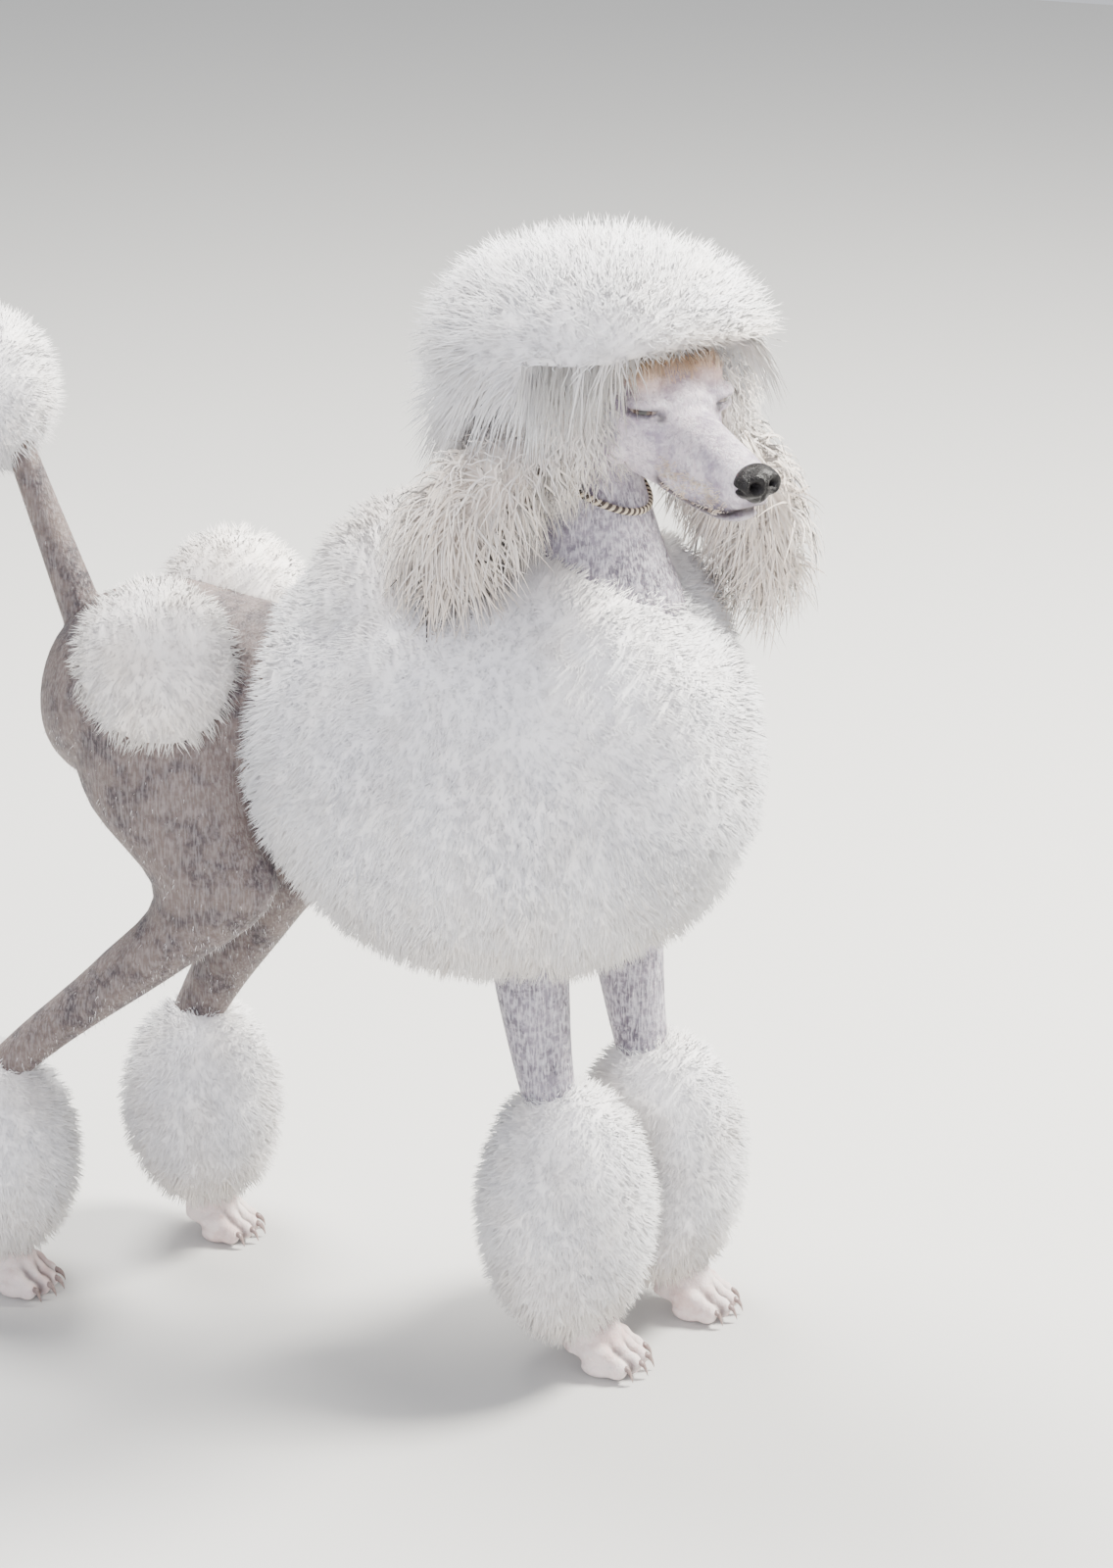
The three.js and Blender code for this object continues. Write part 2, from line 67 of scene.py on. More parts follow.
def unit(v):
    v = np.asarray(v, dtype=float)
    return v / np.maximum(np.linalg.norm(v, axis=-1, keepdims=True), 1e-9)


LEFT = np.array([1.0, 0.0, 0.0])
FORWARD = np.array([0.0, -1.0, 0.0])
UP = np.array([0.0, 0.0, 1.0])
print("middle of the fore feet", round(origin_x, 4), round(origin_y, 4))

# %% [markdown]
# The head has directions of its own. It is turned a little to the dog's right and tipped down.

# %% The head's directions
SKULL = (-5, -8, 760)
HEAD_YAW = math.radians(35)
HEAD_PITCH = math.radians(6)
head_turn = Matrix.Rotation(-HEAD_YAW, 3, "Z") @ Matrix.Rotation(HEAD_PITCH, 3, "X")
h_forward = np.array(head_turn @ Vector(FORWARD))
h_left = np.array(head_turn @ Vector(LEFT))
h_up = np.array(head_turn @ Vector(UP))
HEAD_AXES = (h_left, h_forward, h_up)


def on_head(forward, left, up):
    return place(*SKULL) + (h_forward * forward + h_left * left + h_up * up) * MM


def head_coords(points):
    d = (points - place(*SKULL)) / MM
    return d @ h_forward, d @ h_left, d @ h_up


# %% [markdown]
# Flesh is made of closed lofts and balls that run into each other. A voxel remesh fuses them
# into one skin without a seam, which is how a sculptor would block out an animal in clay.

# %% Closed forms for the flesh
class Clay:
    """Closed forms gathered as one set of points and faces."""

    def __init__(self):
        self.points = []
        self.faces = []
        self.count = 0

    def add(self, points, faces):
        self.points.append(points)
        self.faces += [[i + self.count for i in f] for f in faces]
        self.count += len(points)

    def mesh(self, name):
        mesh = bpy.data.meshes.new(name)
        mesh.from_pydata(np.concatenate(self.points).tolist(), [], self.faces)
        return mesh


def smooth_rows(rows, steps):
    rows = np.asarray(rows, dtype=float)
    padded = np.vstack([2 * rows[0] - rows[1], rows, 2 * rows[-1] - rows[-2]])
    out = []
    for t in np.linspace(0, len(rows) - 1 - 1e-9, steps):
        i = int(t)
        f = t - i
        a, b, c, d = padded[i:i + 4]
        out.append(0.5 * (2 * b + (c - a) * f + (2 * a - 5 * b + 4 * c - d) * f ** 2
                          + (3 * b - a - 3 * c + d) * f ** 3))
    return np.array(out)


def loft(clay, centres, sizes, across, through, steps=28, sides=28):
    centres = smooth_rows(centres, steps)
    sizes = np.maximum(smooth_rows(sizes, steps), 0.3)
    path = centres[-1] - centres[0]
    if np.dot(across, np.cross(-path, through)) < 0:
        through = -through
    angle = np.linspace(0, 2 * math.pi, sides, endpoint=False)
    rings = [c + MM * (np.outer(np.cos(angle) * s[0], across) - np.outer(np.sin(angle) * s[1], through))
             for c, s in zip(centres, sizes)]
    points = np.vstack(rings + [centres[:1], centres[-1:]])
    first, last = steps * sides, steps * sides + 1
    faces = []
    for i in range(sides):
        j = (i + 1) % sides
        faces += [[k * sides + i, (k + 1) * sides + i, (k + 1) * sides + j, k * sides + j]
                  for k in range(steps - 1)]
        faces.append([first, i, j])
        faces.append([last, (steps - 1) * sides + j, (steps - 1) * sides + i])
    clay.add(points, faces)


def ball(clay, centre, radii, axes=(LEFT, FORWARD, UP), sides=24, rings=14):
    axes = np.array(axes)
    if np.linalg.det(axes) < 0:
        axes = axes * np.array([[-1], [1], [1]])
    points = [centre + axes[2] * radii[2] * MM]
    for k in range(1, rings):
        lat = math.pi * k / rings
        for i in range(sides):
            lon = 2 * math.pi * i / sides
            n = np.array([math.sin(lat) * math.cos(lon), math.sin(lat) * math.sin(lon), math.cos(lat)])
            points.append(centre + (n * np.array(radii) * MM) @ axes)
    points.append(centre - axes[2] * radii[2] * MM)
    faces = []
    for i in range(sides):
        j = (i + 1) % sides
        faces.append([0, 1 + i, 1 + j])
        faces += [[1 + k * sides + i, 1 + (k + 1) * sides + i, 1 + (k + 1) * sides + j, 1 + k * sides + j]
                  for k in range(rings - 2)]
        end = 1 + (rings - 1) * sides
        faces.append([end, end - sides + j, end - sides + i])
    clay.add(np.array(points), faces)


def fused(clay, name, voxel, rounds):
    """Fuse closed forms into one surface and soften the joins."""
    obj = bpy.data.objects.new(name, clay.mesh(name))
    bpy.context.scene.collection.objects.link(obj)
    remesh = obj.modifiers.new("fuse", "REMESH")
    remesh.mode = "VOXEL"
    remesh.voxel_size = voxel
    soften = obj.modifiers.new("soften", "SMOOTH")
    soften.factor = 0.6
    soften.iterations = rounds
    return applied(obj)


def applied(obj):
    """Put the result of an object's modifiers in its mesh."""
    graph = bpy.context.evaluated_depsgraph_get()
    mesh = bpy.data.meshes.new_from_object(obj.evaluated_get(graph))
    obj.modifiers.clear()
    obj.data = mesh
    return obj


# %% [markdown]
# A loft needs rows of places and sizes. Along the head and the trunk a row is forward, up, half
# width and half height. Down the neck it is forward, left, up and the two half sizes, and down a
# leg or a paw it is how far ahead of the foot, up and the two half sizes.

# %% Flesh of the whole dog
SKULL_ROWS = [(-66, 2, 20, 18), (-50, 2, 36, 35), (-20, 2, 46, 45), (10, 0, 47, 46), (36, -2, 38, 38),
              (56, -6, 28, 29)]
MUZZLE_ROWS = [(30, -8, 31, 31), (57, -10, 25.5, 25), (89, -13, 22, 21.5), (120, -16, 19.5, 18.5),
               (134, -17, 15, 15)]
JAW_ROWS = [(8, -32, 29, 15), (53, -37, 20, 11), (93, -40, 16, 7.5), (120, -38.5, 13, 6),
            (128, -37, 8, 4)]
NECK_ROWS = [(-66, -2, 742, 40, 44), (-60, -2, 700, 43, 49), (-54, 0, 650, 49, 59), (-47, 0, 600, 57, 71),
             (-50, 0, 560, 58, 62)]
TORSO_ROWS = [(-120, 500, 80, 95), (-200, 492, 78, 90), (-258, 492, 73, 83), (-290, 498, 69, 77),
              (-320, 504, 71, 75), (-372, 508, 81, 79), (-420, 502, 77, 75), (-452, 497, 55, 55),
              (-464, 496, 28, 28)]
FORELEG_ROWS = [(-60, 400, 29, 38), (-59, 350, 26, 32), (-54, 300, 23.5, 27.5), (-47, 250, 21, 23),
                (-37, 200, 19, 20), (-25, 145, 18, 19), (-16, 96, 15, 16.5)]
PAW_ROWS = [(-16, 100, 14.5, 15.5), (-13, 60, 15, 17), (-6, 32, 19, 24), (-4, 14, 20, 27)]
LOIN_SWING = 0.1
FEET = {("front", "left"): (18, 52), ("front", "right"): (-18, -52),
        ("rear", "left"): (-385, 22), ("rear", "right"): (-495, -118)}
HIND_SCALE = 0.92


# %% [markdown]
# Round forms that the lofts leave out are balls: the cheeks, the bones of the brow, the pads of
# the upper lip, the lids over the eyes, and three balls for each toe.

# %% Balls of the head, chest and toes
EYE = {"forward": 41, "aside": 29, "up": 15, "radius": 11}
EYE_TURN = 0.75
LID_RADII = (14.5, 12.4, 12.6)
LID_AHEAD = 0.6
CHEEK = ((-2, 33, -14), (15, 35, 27))
BROW_BONE = ((34, 25, 31), (12, 14, 9))
LIP_PAD = ((70, 14, -27), (10, 28, 12))
CHEST = ((-90, 0, 540), (70, 95, 95))
TAIL_ROOT = (-440, -44, 545)
TAIL_END = (-497, -44, 700)
TAIL_SIZES = [(16, 18), (13, 14), (10, 11)]
TOE_STEPS = (-1.5, -0.5, 0.5, 1.5)
TOE_SPACING = 12.6
TOE_BALLS = [(-15, 20, (7, 15, 8)), (1, 10.5, (6.6, 10, 9.5)), (-14, 8, (6.8, 14, 7.6))]


def eye_axes(side):
    s = SIDES[side]
    look = unit(h_forward * math.cos(EYE_TURN) + h_left * s * math.sin(EYE_TURN))
    along = unit(np.cross(h_up, look))
    return look, along, unit(np.cross(look, along))


def eye_centre(side):
    return on_head(EYE["forward"], SIDES[side] * EYE["aside"], EYE["up"])


def head_loft(clay, rows):
    loft(clay, [on_head(r[0], 0, r[1]) for r in rows], [(r[2], r[3]) for r in rows], h_left, h_up)


# %% [markdown]
# A foreleg and a paw are lofts set ahead of the foot's place. A hind leg bends at the stifle and
# at the hock, and swings out from the hip to its foot as it goes down.

# %% Legs, paws and the whole of the clay
def limb(clay, foot, rows, scale=1.0):
    f, l = foot
    line = [place(f + r[0], l, r[1]) for r in rows]
    loft(clay, line, [(r[2] * scale, r[3] * scale) for r in rows], LEFT, FORWARD)


def hindleg(clay, side, foot):
    f, l = foot
    hip = -380 * LOIN_SWING + SIDES[side] * 46
    stifle = f * 0.1 - 265
    hock = f - 28
    down = [stifle + (hock - stifle) * t for t in (0.3, 0.7, 0.94)]
    rows = [(-385, 0.0, 560, 26, 40), (-368, 0.0, 500, 39, 69), (-350, 0.15, 430, 40, 69),
            (stifle, 0.35, 365, 33, 48), (down[0], 0.6, 300, 24.5, 35), (down[1], 0.85, 228, 18, 25),
            (down[2], 0.95, 176, 14.5, 20.5), (f - 27, 1.0, 140, 13.5, 18), (f - 15, 1.0, 96, 13, 15)]
    centres = [place(r[0], hip + (l - hip) * r[1], r[2]) for r in rows]
    loft(clay, centres, [r[3:] for r in rows], LEFT, FORWARD, steps=40)


def paw(clay, foot, scale):
    f, l = foot
    limb(clay, foot, PAW_ROWS, scale)
    for step in TOE_STEPS:
        ahead = 30 - abs(step) * 7
        aside = l + scale * step * TOE_SPACING
        for back, up, radii in TOE_BALLS:
            ball(clay, place(f + scale * (ahead + back), aside, up * scale), [r * scale for r in radii])


def build_flesh():
    clay = Clay()
    for rows in (SKULL_ROWS, MUZZLE_ROWS, JAW_ROWS):
        head_loft(clay, rows)
    for s in SIDES.values():
        for (f, l, u), radii in (CHEEK, BROW_BONE, LIP_PAD):
            ball(clay, on_head(f, s * l, u), radii, HEAD_AXES)
    for side in SIDES:
        look, along, rise = eye_axes(side)
        ball(clay, eye_centre(side) + look * LID_AHEAD * MM, LID_RADII, (along, rise, look))
    loft(clay, [place(*r[:3]) for r in NECK_ROWS], [r[3:] for r in NECK_ROWS], LEFT, FORWARD)
    ball(clay, place(*CHEST[0]), CHEST[1])
    spine = [place(r[0], r[0] * LOIN_SWING, r[1]) for r in TORSO_ROWS]
    loft(clay, spine, [r[2:] for r in TORSO_ROWS], LEFT, UP)
    for side in SIDES:
        limb(clay, FEET["front", side], FORELEG_ROWS)
        hindleg(clay, side, FEET["rear", side])
        paw(clay, FEET["front", side], 1.0)
        paw(clay, FEET["rear", side], HIND_SCALE)
    root, end = place(*TAIL_ROOT), place(*TAIL_END)
    loft(clay, [root, (root + end) / 2, end], TAIL_SIZES, LEFT, FORWARD)
    return clay


SKIN_VOXEL = 0.0021
skin = fused(build_flesh(), "skin", SKIN_VOXEL, 5)
print("skin faces", len(skin.data.polygons))

# %% [markdown]
# The fused clay is then carved by moving its points along their normals. A bell curve of the
# distance from a line gives a groove or a fold with soft sides.

# %% Measures on a mesh
def coords_of(mesh):
    co = np.empty(len(mesh.vertices) * 3)
    mesh.vertices.foreach_get("co", co)
    return co.reshape(-1, 3)


def normals_of(mesh):
    no = np.empty(len(mesh.vertices) * 3)
    mesh.vertices.foreach_get("normal", no)
    return no.reshape(-1, 3)


def bell(x, width):
    """1 where x is 0, falling softly to nothing at about twice the width."""
    return np.exp(-(x / width) ** 2)


def ramp(x, low, high):
    """0 up to low and 1 from high on, with a straight line between."""
    return np.clip((x - low) / (high - low), 0, 1)


def polyline_distance(x, y, line):
    best = np.full(x.shape, 1e9)
    for (ax, ay), (bx, by) in zip(line[:-1], line[1:]):
        dx, dy = bx - ax, by - ay
        t = np.clip(((x - ax) * dx + (y - ay) * dy) / (dx * dx + dy * dy), 0, 1)
        best = np.minimum(best, np.hypot(x - (ax + t * dx), y - (ay + t * dy)))
    return best


# %% [markdown]
# Round each eye there is a narrow slit between two full lids, a crease above and folds below.
# The mouth is a groove with a raised lip on each side. Lid rims, lips and the tan brow are also
# kept as a mask in the red, green and blue of a colour on the points, for the skin's material.

# %% Carve the face
MOUTH = np.array([(139, -28), (121, -37), (105, -41), (85, -42), (62, -40), (50, -37)], dtype=float)
SLIT_HALF = 16
SLIT_DEPTH = 6.0
LID_BULGES = ((4.6, 1.9, 3.0), (-4.6, 1.3, 2.6))
LID_CREASES = ((10, 1.2, 1.5), (-9.5, 1.1, 1.6))
BAG_FOLDS = ((14, 0.9), (18.5, 0.8), (23, 0.6))
LIP_GROOVE = 2.2
LIP_RISE = 1.2


def carve_eye(side, co, masks):
    """Millimetres to move each point round one eye. The lid rims go into the mask's red."""
    look, along, rise = eye_axes(side)
    d = (co - eye_centre(side)) / MM
    a, b, c = d @ along, d @ rise, d @ look
    near = bell(np.hypot(a, b), 22) * (c > 0)
    slit_line = -1.5 + 2.2 * (1 - (a / 15) ** 2) * 0.4
    open_part = np.clip(1 - (np.abs(a) / SLIT_HALF) ** 4, 0, 1)
    off = b - slit_line
    move = near * open_part * (-SLIT_DEPTH * bell(off, 1.8))
    for at, height, width in LID_BULGES:
        move += near * height * bell(off - at, width) * bell(a, 14)
    for at, depth, width in LID_CREASES:
        move += near * -depth * bell(off - at, width) * bell(a, 14)
    bag = b + 0.012 * a ** 2
    for fold, depth in BAG_FOLDS:
        move += -depth * bell(bag + fold, 1.3) * bell(a - SIDES[side] * 2, 15) * (c > -6)
    corner = bell(np.hypot(a + SIDES[side] * 13, off + 3), 4.5)
    rim = np.maximum(bell(off, 3.6) * open_part, corner * 0.9)
    masks[:, 0] = np.maximum(masks[:, 0], rim * (c > 0))
    return move


def carve_mouth(co, masks):
    """Millimetres to move each point along the mouth. The lips go into the mask's green."""
    s, l, u = head_coords(co)
    face = (s > 20) & (np.abs(l) < 60) & (u > -60) & (u < 60)
    d = polyline_distance(s, u, MOUTH)
    ends = ramp(s, 48, 53) * ramp(s, 139, 135)
    corner = bell(np.hypot(s - 51, u + 37), 5)
    masks[:, 1] = face * np.maximum(ends * bell(d, 3.2), corner * 0.9)
    return face * ends * (-LIP_GROOVE * bell(d, 1.1) + LIP_RISE * bell(d - 3.2, 2.0))


def carve_face(mesh):
    co = coords_of(mesh)
    masks = np.zeros((len(co), 4))
    masks[:, 3] = 1
    move = sum(carve_eye(side, co, masks) for side in SIDES) + carve_mouth(co, masks)
    s, l, u = head_coords(co)
    masks[:, 2] = bell(s - 26, 24) * ramp(u, 22, 31) * bell(np.abs(l) - 27, 20) * (u < 70)
    co += normals_of(mesh) * move[:, None] * MM
    mesh.vertices.foreach_set("co", co.ravel())
    tint = mesh.color_attributes.new("masks", "FLOAT_COLOR", "POINT")
    tint.data.foreach_set("color", masks.ravel())
    mesh.update()


# %% [markdown]
# The body needs fewer faces than the face does. A Decimate modifier thins only the points of a
# vertex group, so the head is left out of the group. The carving comes after the thinning.

# %% Thin the body and carve
BODY_SHARE = 0.45


def finish_skin():
    """Thin the mesh away from the face, where its detail isn't needed."""
    group = skin.vertex_groups.new(name="body")
    s, l, u = head_coords(coords_of(skin.data))
    body = np.nonzero(~((s > -40) & (np.abs(l) < 70) & (u > -60)))[0]
    group.add(body.tolist(), 1.0, "REPLACE")
    thin = skin.modifiers.new("thin", "DECIMATE")
    thin.ratio = BODY_SHARE
    thin.vertex_group = "body"
    applied(skin)
    skin.vertex_groups.clear()


finish_skin()
print("skin faces after thinning", len(skin.data.polygons))
carve_face(skin.data)
skin.data.shade_smooth()


# %% [markdown]
# The soles are made flat so that the model stands on the floor. Each point of the skin is then
# given its place in the trim: dark hindquarters, partly their own skin and partly painted shade,
# pale face, pink feet, and grey for the rest. These zones are kept as colours on the points too,
# and the alpha holds painted shade between the toes.

# %% Flat soles and zones of the trim
HIND_EDGE = (-215, -275)
FACE_EDGE = (690, 725)
FOOT_EDGE = (58, 30)
SOLE = 0.4


def dog_coords(points):
    return (origin_y - points[:, 1]) / MM, (points[:, 0] - origin_x) / MM, points[:, 2] / MM


def paint_zones(mesh):
    co = coords_of(mesh)
    co[:, 2] = np.maximum(co[:, 2], SOLE * MM)
    mesh.vertices.foreach_set("co", co.ravel())
    f, l, z = dog_coords(co)
    zones = np.ones((len(co), 4))
    # The hindquarter zone, whose darker colours are partly the skin's own and partly painted shade.
    zones[:, 0] = ramp(f, *HIND_EDGE)
    zones[:, 1] = ramp(z, *FACE_EDGE)
    zones[:, 2] = ramp(z, *FOOT_EDGE)
    # Painted shade between the toes: the skin is darkened along the gaps between them, kept in the alpha
    # of the zones.
    between = np.zeros(len(co))
    for (pair, _), (foot_f, foot_l) in FEET.items():
        scale = 1.0 if pair == "front" else HIND_SCALE
        for step in (-1, 0, 1):
            d = np.abs(l - foot_l - step * TOE_SPACING * scale)
            reach = (np.abs(f - foot_f - 18) < 34) & (np.abs(l - foot_l) < 34)
            between = np.maximum(between, bell(d, 2.4) * reach * ramp(z, 34, 22))
    zones[:, 3] = between
    layer = mesh.color_attributes.new("zones", "FLOAT_COLOR", "POINT")
    layer.data.foreach_set("color", zones.ravel())
    mesh.update()


paint_zones(skin.data)
print("skin box", [round(v, 3) for v in coords_of(skin.data).min(0)])

# %% [markdown]
# Materials are made with two small helpers. One turns a colour from a paint chart, written in
# hex, to the linear values that a shader wants. The other adds a node with its settings and links.

# %% Material helpers
def linear(hex_colour):
    parts = [int(hex_colour[i:i + 2], 16) / 255 for i in (1, 3, 5)]
    return tuple(p / 12.92 if p <= 0.04045 else ((p + 0.055) / 1.055) ** 2.4 for p in parts) + (1.0,)


def node(tree, kind, settings=None, **inputs):
    made = tree.nodes.new(kind)
    for key, value in (settings or {}).items():
        setattr(made, key, value)
    for key, value in inputs.items():
        socket = made.inputs[int(key[1:])] if key[1:].isdigit() else made.inputs[key.replace("_", " ")]
        if isinstance(value, bpy.types.NodeSocket):
            tree.links.new(value, socket)
        else:
            socket.default_value = value
    return made


def fresh_material(name):
    material = bpy.data.materials.new(name)
    material.use_nodes = True
    tree = material.node_tree
    return material, tree, tree.nodes["Principled BSDF"]


def mixed(tree, share, a, b):
    """Colour a where share is 0, and b where it is 1."""
    return node(tree, "ShaderNodeMix", {"data_type": "RGBA"}, i0=share, i6=a, i7=b).outputs[2]


def stepped(tree, value, low, high):
    """0 up to low and 1 from high on, softly. It runs the other way where low is over high."""
    made = node(tree, "ShaderNodeMapRange", {"interpolation_type": "SMOOTHSTEP"}, i0=value, i1=low,
                i2=high)
    return made.outputs[0]


def times(tree, a, b):
    return node(tree, "ShaderNodeMath", {"operation": "MULTIPLY"}, i0=a, i1=b).outputs[0]


def per_metre(size_mm):
    """Noise scale for features of this size in millimetres, on coordinates in metres."""
    return 1000.0 / size_mm


# %% [markdown]
# Clipped skin is grey and mottled, with white stubble that lies down the legs. The face is pale
# with fine wrinkles, whose creases are painted darker as painted shade, the brow tan, and the lips
# and lid rims nearly black. The hindquarters are the darkest, partly from their own skin and partly
# from painted shade. Real stubble is finer than the 1.6 mm here, which is as coarse as it has to be to
# show. The skin is dull and lets a little light in, as skin does.

# %% Clipped skin with stubble
SPOT = 26
FLECK = 5
STUBBLE = 1.6
STUBBLE_LIE = 0.14
WRINKLE = 3.2


def clipped_skin():
    material, tree, shader = fresh_material("clipped_skin_with_stubble")
    place_at = node(tree, "ShaderNodeTexCoord").outputs["Object"]
    zones = node(tree, "ShaderNodeAttribute", {"attribute_name": "zones"})
    zone = node(tree, "ShaderNodeSeparateColor", i0=zones.outputs["Color"]).outputs
    masks = node(tree, "ShaderNodeAttribute", {"attribute_name": "masks"})
    mask = node(tree, "ShaderNodeSeparateColor", i0=masks.outputs["Color"]).outputs
    spots = node(tree, "ShaderNodeTexNoise", None, Vector=place_at, Scale=per_metre(SPOT),
                 Detail=4.0, Roughness=0.65)
    fine = node(tree, "ShaderNodeTexNoise", None, Vector=place_at, Scale=per_metre(FLECK),
                Detail=3.0, Roughness=0.6)
    down = node(tree, "ShaderNodeMapping", None, Vector=place_at, Scale=(1.0, 1.0, STUBBLE_LIE))
    stubble = node(tree, "ShaderNodeTexNoise", None, Vector=down.outputs[0],
                   Scale=per_metre(STUBBLE), Detail=2.0)
    wrinkle = node(tree, "ShaderNodeTexNoise", None, Vector=place_at, Scale=per_metre(WRINKLE),
                   Detail=5.0, Distortion=0.8)
    dark_share = stepped(tree, spots.outputs[0], 0.40, 0.66)
    light_share = stepped(tree, fine.outputs[0], 0.42, 0.68)
    hair_share = stepped(tree, stubble.outputs[0], 0.46, 0.64)
    legs = mixed(tree, dark_share, linear("#857E89"), linear("#544D59"))
    legs = mixed(tree, times(tree, light_share, 0.55), legs, linear("#C9C4CB"))
    legs = mixed(tree, times(tree, hair_share, 0.42), legs, linear("#DEDBE0"))
    # Hindquarter colours: partly their own darker skin and partly painted shade.
    hind = mixed(tree, dark_share, linear("#685B56"), linear("#393135"))
    hind = mixed(tree, times(tree, light_share, 0.35), hind, linear("#8E8280"))
    hind = mixed(tree, times(tree, hair_share, 0.3), hind, linear("#A79F9E"))
    face = mixed(tree, dark_share, linear("#D8CDD4"), linear("#94879A"))
    face = mixed(tree, times(tree, light_share, 0.5), face, linear("#EFEAEC"))
    face = mixed(tree, times(tree, hair_share, 0.35), face, linear("#A99CA8"))
    # Painted shade: the face is darkened in the creases of its fine wrinkles.
    wrinkle_shade_share = stepped(tree, wrinkle.outputs[0], 0.48, 0.36)
    face = mixed(tree, times(tree, wrinkle_shade_share, 0.5), face, linear("#8F8290"))
    foot = mixed(tree, dark_share, linear("#E6D8D4"), linear("#D2BAB5"))
    colour = mixed(tree, zone[0], legs, hind)
    colour = mixed(tree, zone[2], colour, foot)
    colour = mixed(tree, zone[1], colour, face)
    colour = mixed(tree, times(tree, mask[2], 0.85), colour, linear("#D2A476"))
    # The alpha of the zones is painted shade between the toes.
    colour = mixed(tree, times(tree, zones.outputs["Alpha"], 0.85), colour, linear("#4A3C3E"))
    colour = mixed(tree, mask[1], colour, linear("#2C2021"))
    colour = mixed(tree, mask[0], colour, linear("#140D0E"))
    bumps = node(tree, "ShaderNodeMath", {"operation": "ADD"}, i0=times(tree, stubble.outputs[0], 0.6),
                 i1=wrinkle.outputs[0]).outputs[0]
    bump = node(tree, "ShaderNodeBump", None, Strength=0.7, Distance=0.0013, Height=bumps)
    tree.links.new(colour, shader.inputs["Base Color"])
    tree.links.new(bump.outputs[0], shader.inputs["Normal"])
    shader.inputs["Roughness"].default_value = 0.62
    shader.inputs["Subsurface Weight"].default_value = 0.08
    shader.inputs["Subsurface Scale"].default_value = 0.004
    return material


skin.data.materials.append(clipped_skin())
print("skin material", skin.data.materials[0].name)

# %% [markdown]
# The eyes are nearly shut, so only a dark glint shows between the lids. They are still whole
# balls, set where the lids close over them, with iris and pupil told by the distance from the
# line of sight. A wet eye is smooth and has a clear coat of tears, with water's IOR.

# %% Eyes
IRIS_EDGE = 6.4
PUPIL_EDGE = 3.0


def eye_material():
    material, tree, shader = fresh_material("wet_dark_eye")
    far = node(tree, "ShaderNodeAttribute", {"attribute_name": "from_sight"}).outputs["Fac"]
    place_at = node(tree, "ShaderNodeTexCoord").outputs["Object"]
    grain = node(tree, "ShaderNodeTexNoise", None, Vector=place_at, Scale=per_metre(1.2), Detail=3.0)
    iris = mixed(tree, grain.outputs[0], linear("#2A1A12"), linear("#4A2E1C"))
    white = stepped(tree, far, IRIS_EDGE - 0.3, IRIS_EDGE + 0.6)
    pupil = stepped(tree, far, PUPIL_EDGE + 0.2, PUPIL_EDGE - 0.2)
    colour = mixed(tree, white, iris, linear("#9A8C84"))
    colour = mixed(tree, pupil, colour, linear("#080606"))
    tree.links.new(colour, shader.inputs["Base Color"])
    shader.inputs["Roughness"].default_value = 0.12
    shader.inputs["IOR"].default_value = 1.38
    shader.inputs["Coat Weight"].default_value = 1.0
    shader.inputs["Coat Roughness"].default_value = 0.03
    return material


def make_eye(side, material):
    look, along, rise = eye_axes(side)
    clay = Clay()
    radius = EYE["radius"]
    ball(clay, eye_centre(side), [radius, radius, radius], (along, rise, look), sides=40, rings=24)
    mesh = clay.mesh(f"eyeball_{side}")
    co = coords_of(mesh)
    off = (co - eye_centre(side)) / MM
    front = off @ look
    far = np.where(front > 0, np.linalg.norm(off - np.outer(front, look), axis=1), 2 * radius)
    layer = mesh.attributes.new("from_sight", "FLOAT", "POINT")
    layer.data.foreach_set("value", far)
    mesh.materials.append(material)
    mesh.shade_smooth()
    eye = bpy.data.objects.new(f"eyeball_{side}", mesh)
    bpy.context.scene.collection.objects.link(eye)
    return eye


eye_paint = eye_material()
eyes = {side: make_eye(side, eye_paint) for side in SIDES}
print("eyes", list(eyes))

# %% [markdown]
# The nose is a block of soft black leather with a pebbled skin. Two comma-shaped nostrils open
# to the front and run out to the sides, and a groove parts it in the middle. It is fused clay
# again, carved in the same way. Its leather is damp, so it shines a little between the pebbles.

# %% Nose
NOSE_AT = (135, -10)
NOSE_VOXEL = 0.0009
NOSE_RADII = (16, 12, 12.5)
NOSE_LIP_RADII = (9, 9, 8)
NOSE_WING_RADII = (8.2, 9.5, 9.5)
PEBBLE = 1.3


def nose_material():
    material, tree, shader = fresh_material("pebbled_nose_leather")
    place_at = node(tree, "ShaderNodeTexCoord").outputs["Object"]
    cells = node(tree, "ShaderNodeTexVoronoi", {"feature": "DISTANCE_TO_EDGE"}, Vector=place_at,
                 Scale=per_metre(PEBBLE))
    # Painted shade: the cracks between the pebbles are darker than their tops.
    tone = stepped(tree, cells.outputs["Distance"], 0.02, 0.3)
    colour = mixed(tree, tone, linear("#070506"), linear("#161113"))
    bump = node(tree, "ShaderNodeBump", None, Strength=0.7, Distance=0.0004, Height=tone)
    tree.links.new(colour, shader.inputs["Base Color"])
    tree.links.new(bump.outputs[0], shader.inputs["Normal"])
    shader.inputs["Roughness"].default_value = 0.42
    shader.inputs["Specular IOR Level"].default_value = 0.3
    shader.inputs["Coat Weight"].default_value = 0.06
    shader.inputs["Coat Roughness"].default_value = 0.3
    return material


